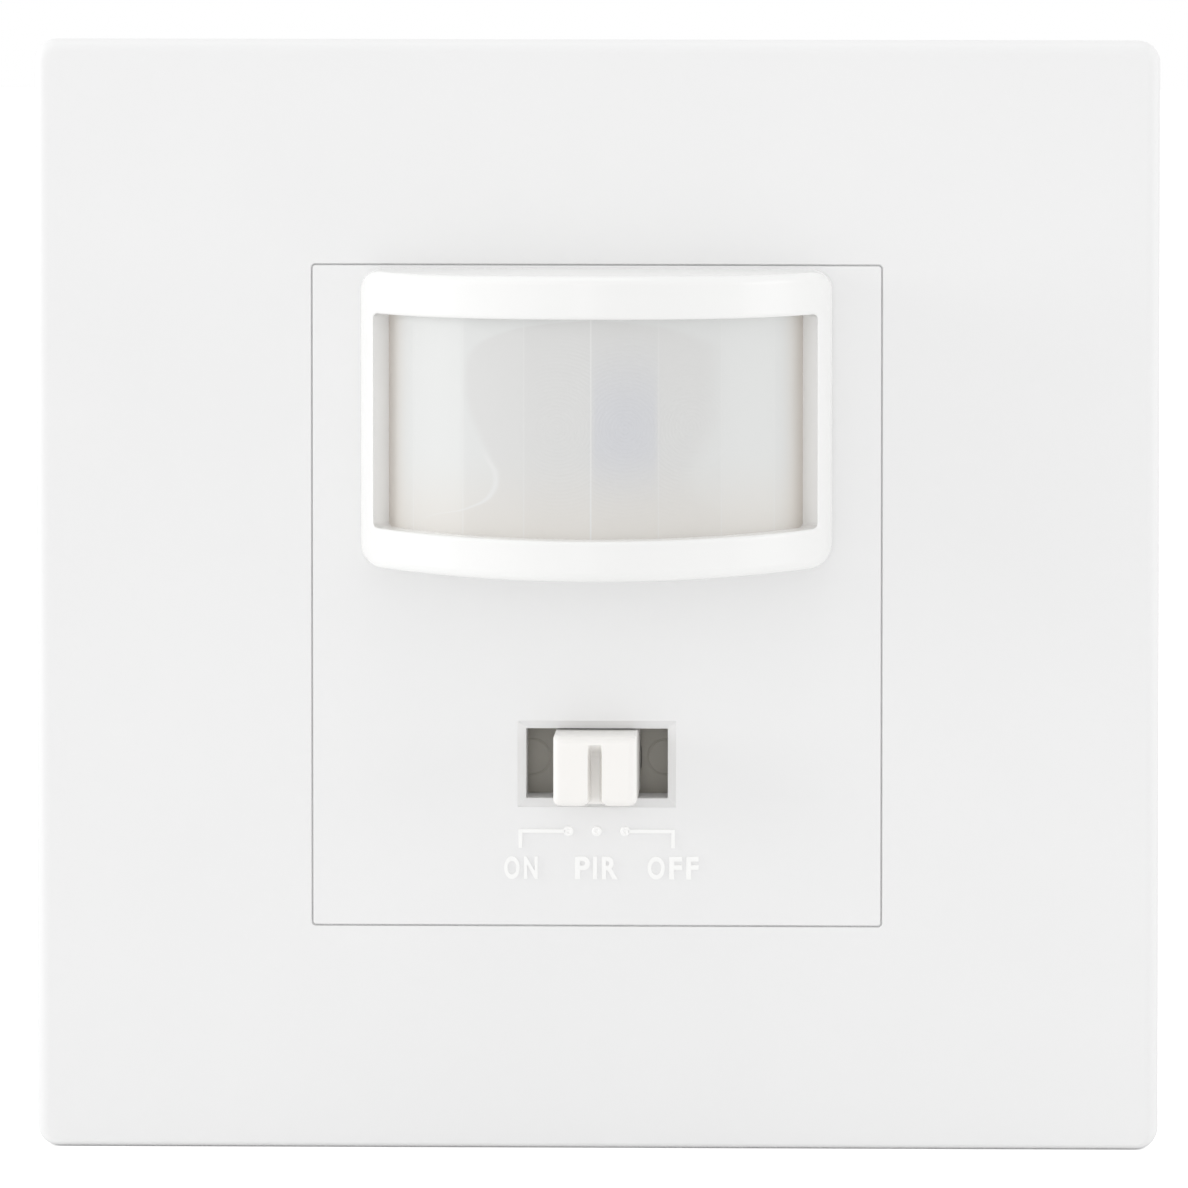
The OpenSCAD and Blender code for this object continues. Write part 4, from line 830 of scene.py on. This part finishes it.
class SWITCH_OT_words(bpy.types.Operator):
    """The raised words for the three positions, letter by letter"""
    bl_idname = "switch.words"
    bl_label = "Words"

    def execute(self, context):
        sizes = context.scene.switch_sizes
        foot, sunk = PANEL_FACE + 0.1, 0.1
        baseline = WORDS_Z - sizes.letter_height / 2
        parts = []
        for letter, left, right in LETTERS:
            curve = bpy.data.curves.new(letter, "FONT")
            curve.body = letter
            curve.offset = 0.034
            curve.extrude = 0.5
            text = put_in_scene("text", curve)
            context.view_layer.update()
            mesh = bpy.data.meshes.new_from_object(text)
            bpy.data.objects.remove(text)
            points = np.empty(len(mesh.vertices) * 3)
            mesh.vertices.foreach_get("co", points)
            points = points.reshape(-1, 3)
            share = (points - points.min(0)) / (points.max(0) - points.min(0))
            place = np.stack([left + share[:, 0] * (right - left), foot - share[:, 2] * (sunk + sizes.relief),
                              baseline + share[:, 1] * sizes.letter_height], -1) * MM
            parts.append((place, [tuple(face.vertices) for face in mesh.polygons]))
            bpy.data.meshes.remove(mesh)
        make_piece("position_words", parts, finish("mark_white_and_highlight"), "panel")
        return {"FINISHED"}


# Solids that keep their shape and only get softer edges: node and width of the edge
SOFTENED = {
    "rear_housing": 0.35, "mounting_frame": 0.12, "inner_cover": 0.2, "terminal_block": 0.3, "frame_screws": 0.12,
    "cover_screws": 0.12, "relay_case": 0.25, "film_capacitor": 0.4, "terminal_screw_1": 0.12,
    "terminal_screw_2": 0.12, "terminal_screw_3": 0.12, "varistor": 0.6, "controller_chip": 0.12,
    "sensor_can": 0.15, "lux_rotor": 0.12, "time_rotor": 0.12, "lux_trimmer": 0.2, "time_trimmer": 0.2,
    "sensor_shroud": 0.1, "lens_retainer": 0.1, "header_strip": 0.1, "fuse": 0.12,
    "rectifier_diodes": 0.3, "dropper_resistor": 0.5, "clamp_cage_1": 0.12, "clamp_cage_2": 0.12,
    "clamp_cage_3": 0.12, "terminal_bars": 0.1, "light_sensor": 0.2, "sensor_holder": 0.15,
}


def rear_rim(bm):
    """The edges round the housing's rear face, without those of the terminal block's cut-out."""
    touch, clear_angle = 0.01 * MM, 0.6
    rear = max(v.co.y for v in bm.verts)
    side = max(abs(v.co.x) for v in bm.verts if rear - v.co.y < touch)
    rim = []
    for e in bm.edges:
        a, b = (v.co for v in e.verts)
        at_back = min(a.y, b.y) > rear - touch
        by_cut = max(abs(a.x), abs(b.x)) < side - 6.5 * MM
        lowest = min(a.z, b.z)
        cut_side = lowest < -9 * MM and a.z != b.z
        cut_top = -13 * MM < lowest < -7 * MM
        is_edge = len(e.link_faces) == 2 and e.calc_face_angle(0) > clear_angle
        if at_back and is_edge and not (by_cut and (cut_side or cut_top)):
            rim.append(e)
    return rim


class SWITCH_OT_softened_parts(bpy.types.Operator):
    """Copies of plain solids with bevelled edges, each standing for its own solid"""
    bl_idname = "switch.softened_parts"
    bl_label = "Softened parts"

    def execute(self, context):
        body_of = {node: body for body, nodes in frame["record"]["behaviour"]["bodies"].items() for node in nodes}
        sharp = 38
        for node, width in SOFTENED.items():
            mesh = frame["nodes"][node].data.copy()
            bm = bmesh.new()
            bm.from_mesh(mesh)
            bmesh.ops.remove_doubles(bm, verts=bm.verts, dist=2e-6)
            bmesh.ops.dissolve_limit(bm, angle_limit=math.radians(0.5), verts=bm.verts, edges=bm.edges)
            if node == "rear_housing":
                bmesh.ops.bevel(bm, geom=rear_rim(bm), offset=1.6 * MM, offset_type="OFFSET", segments=6,
                                profile=0.5, affect="EDGES", clamp_overlap=True)
            bm.to_mesh(mesh)
            bm.free()
            shade_smooth(mesh, sharp)
            piece = put_in_scene(node + "_soft", mesh)
            bevel = piece.modifiers.new("edges", "BEVEL")
            bevel.width = width * MM
            bevel.segments = 3
            bevel.limit_method = "ANGLE"
            bevel.angle_limit = math.radians(sharp)
            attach(piece, body_of[node])
            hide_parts(node)
        return {"FINISHED"}


# Soft lights in metres and watts: name, place, diameter, power. All point at the middle of the switch
LIGHTS = (("left_light", (-1.0, -0.16, 0.15), 0.5, 2.2), ("right_light", (1.0, -0.14, 0.05), 0.5, 1.1),
          ("top_light", (0.0, -0.14, 1.0), 0.5, 0.6), ("front_light", (-0.1, -1.2, 0.06), 0.16, 0.25))


def look(thing, place, away):
    """Puts a light or camera at the place, looking against the direction `away`."""
    thing.location = place
    thing.rotation_euler = (-Vector(away)).to_track_quat("-Z", "Y").to_euler()


class SWITCH_OT_stage(bpy.types.Operator):
    """Floor, soft lights, white surroundings and the camera"""
    bl_idname = "switch.stage"
    bl_label = "Stage"

    azimuth: FloatProperty(name="Azimuth", description="Camera's turn to the right, in degrees", default=1.8)
    elevation: FloatProperty(name="Elevation", description="Camera's height angle, in degrees", default=5.1)
    distance: FloatProperty(name="Distance", description="From the camera to its target", default=1.4, unit="LENGTH")

    def execute(self, context):
        context.scene.view_settings.view_transform = "Standard"
        self.make_floor()
        self.make_surroundings(context.scene)
        for name, place, diameter, power in LIGHTS:
            data = bpy.data.lights.new(name, "AREA")
            data.shape = "DISK"
            data.size = diameter
            data.energy = power
            look(put_in_scene(name, data), place, place)
        self.make_camera(context.scene)
        return {"FINISHED"}

    def make_floor(self):
        """A level grid at the object's lowest point, whose own glow only the camera sees."""
        across = np.linspace(-1.2, 1.2, 9)
        x, y = np.meshgrid(across, across, indexing="ij")
        points, faces = skin(np.stack([x, y, np.full_like(x, CAD_BOX[0][2])], -1), round_=False)
        mesh = bpy.data.meshes.new("floor")
        mesh.from_pydata(points.tolist(), [], faces.tolist())
        floor = put_in_scene("floor", mesh)
        material, tree, shader, _ = blank("pale_floor")
        glow = compute(tree, "MULTIPLY", add_node(tree, "LightPath").outputs["Is Camera Ray"], 0.5)
        feed_all(tree, shader, {"Base Color": linear(248, 248, 248), "Roughness": 0.9, "Emission Color": WHITE,
                                "Emission Strength": glow})
        mesh.materials.append(material)

    def make_surroundings(self, scene):
        """Even light on the object, and plain white for the camera, reflections and what glass shows."""
        scene.world = scene.world or bpy.data.worlds.new("surroundings")
        scene.world.use_nodes = True
        tree = scene.world.node_tree
        tree.nodes.clear()
        path = add_node(tree, "LightPath").outputs
        seen = compute(tree, "MAXIMUM", path["Is Camera Ray"], path["Is Glossy Ray"])
        seen = compute(tree, "MAXIMUM", seen, path["Is Transmission Ray"])
        lit, shown = (add_node(tree, "Background", Color=WHITE, Strength=strength).outputs[0]
                      for strength in (0.9, 1.0))
        mix = add_node(tree, "MixShader")
        for socket, value in zip(mix.inputs, (seen, lit, shown)):
            feed(tree, socket, value)
        add_node(tree, "OutputWorld", Surface=mix.outputs[0])

    def make_camera(self, scene):
        """A long lens on the photograph's line of sight, which frames the width seen at the target."""
        az, el = math.radians(self.azimuth), math.radians(self.elevation)
        target = Vector((-0.2, PANEL_FACE, 0.13)) * MM
        away = Vector((math.sin(az) * math.cos(el), -math.cos(az) * math.cos(el), math.sin(el)))
        seen_width = 85.4 * MM
        data = bpy.data.cameras.new("camera")
        data.sensor_width = 36
        data.lens = data.sensor_width * self.distance / seen_width
        data.clip_start = 0.05
        data.clip_end = 20
        camera = put_in_scene("camera", data)
        look(camera, target + away * self.distance, away)
        scene.camera = camera


class SWITCH_PT_parts(bpy.types.Panel):
    """Lists the settings and the pieces of the switch"""
    bl_idname = "SWITCH_PT_parts"
    bl_label = "Motion sensor switch"
    bl_space_type = "VIEW_3D"
    bl_region_type = "UI"
    bl_category = "Switch"

    def draw(self, context):
        for group in (context.scene.switch_colours, context.scene.switch_sizes):
            box = self.layout.box()
            for key in group.__annotations__:
                box.prop(group, key)
        for operator in OPERATORS:
            self.layout.operator(operator.bl_idname)


SETTINGS = (SwitchColours, SwitchSizes)
OPERATORS = (SWITCH_OT_finishes, SWITCH_OT_cover_frame, SWITCH_OT_front_panel, SWITCH_OT_sensor_hood,
             SWITCH_OT_fresnel_lens, SWITCH_OT_selector_knob, SWITCH_OT_switch_face, SWITCH_OT_position_marks,
             SWITCH_OT_words, SWITCH_OT_softened_parts, SWITCH_OT_stage)
CLASSES = SETTINGS + OPERATORS + (SWITCH_PT_parts,)


def register():
    """Registers the classes and puts the settings on the scene."""
    for kind in CLASSES:
        bpy.utils.register_class(kind)
    bpy.types.Scene.switch_colours = PointerProperty(type=SwitchColours)
    bpy.types.Scene.switch_sizes = PointerProperty(type=SwitchSizes)


def unregister():
    """Takes the settings and the classes away again."""
    del bpy.types.Scene.switch_sizes
    del bpy.types.Scene.switch_colours
    for kind in reversed(CLASSES):
        bpy.utils.unregister_class(kind)


def main():
    register()
    for operator in OPERATORS:
        group, name = operator.bl_idname.split(".")
        getattr(getattr(bpy.ops, group), name)()


if __name__ == "__main__":
    main()
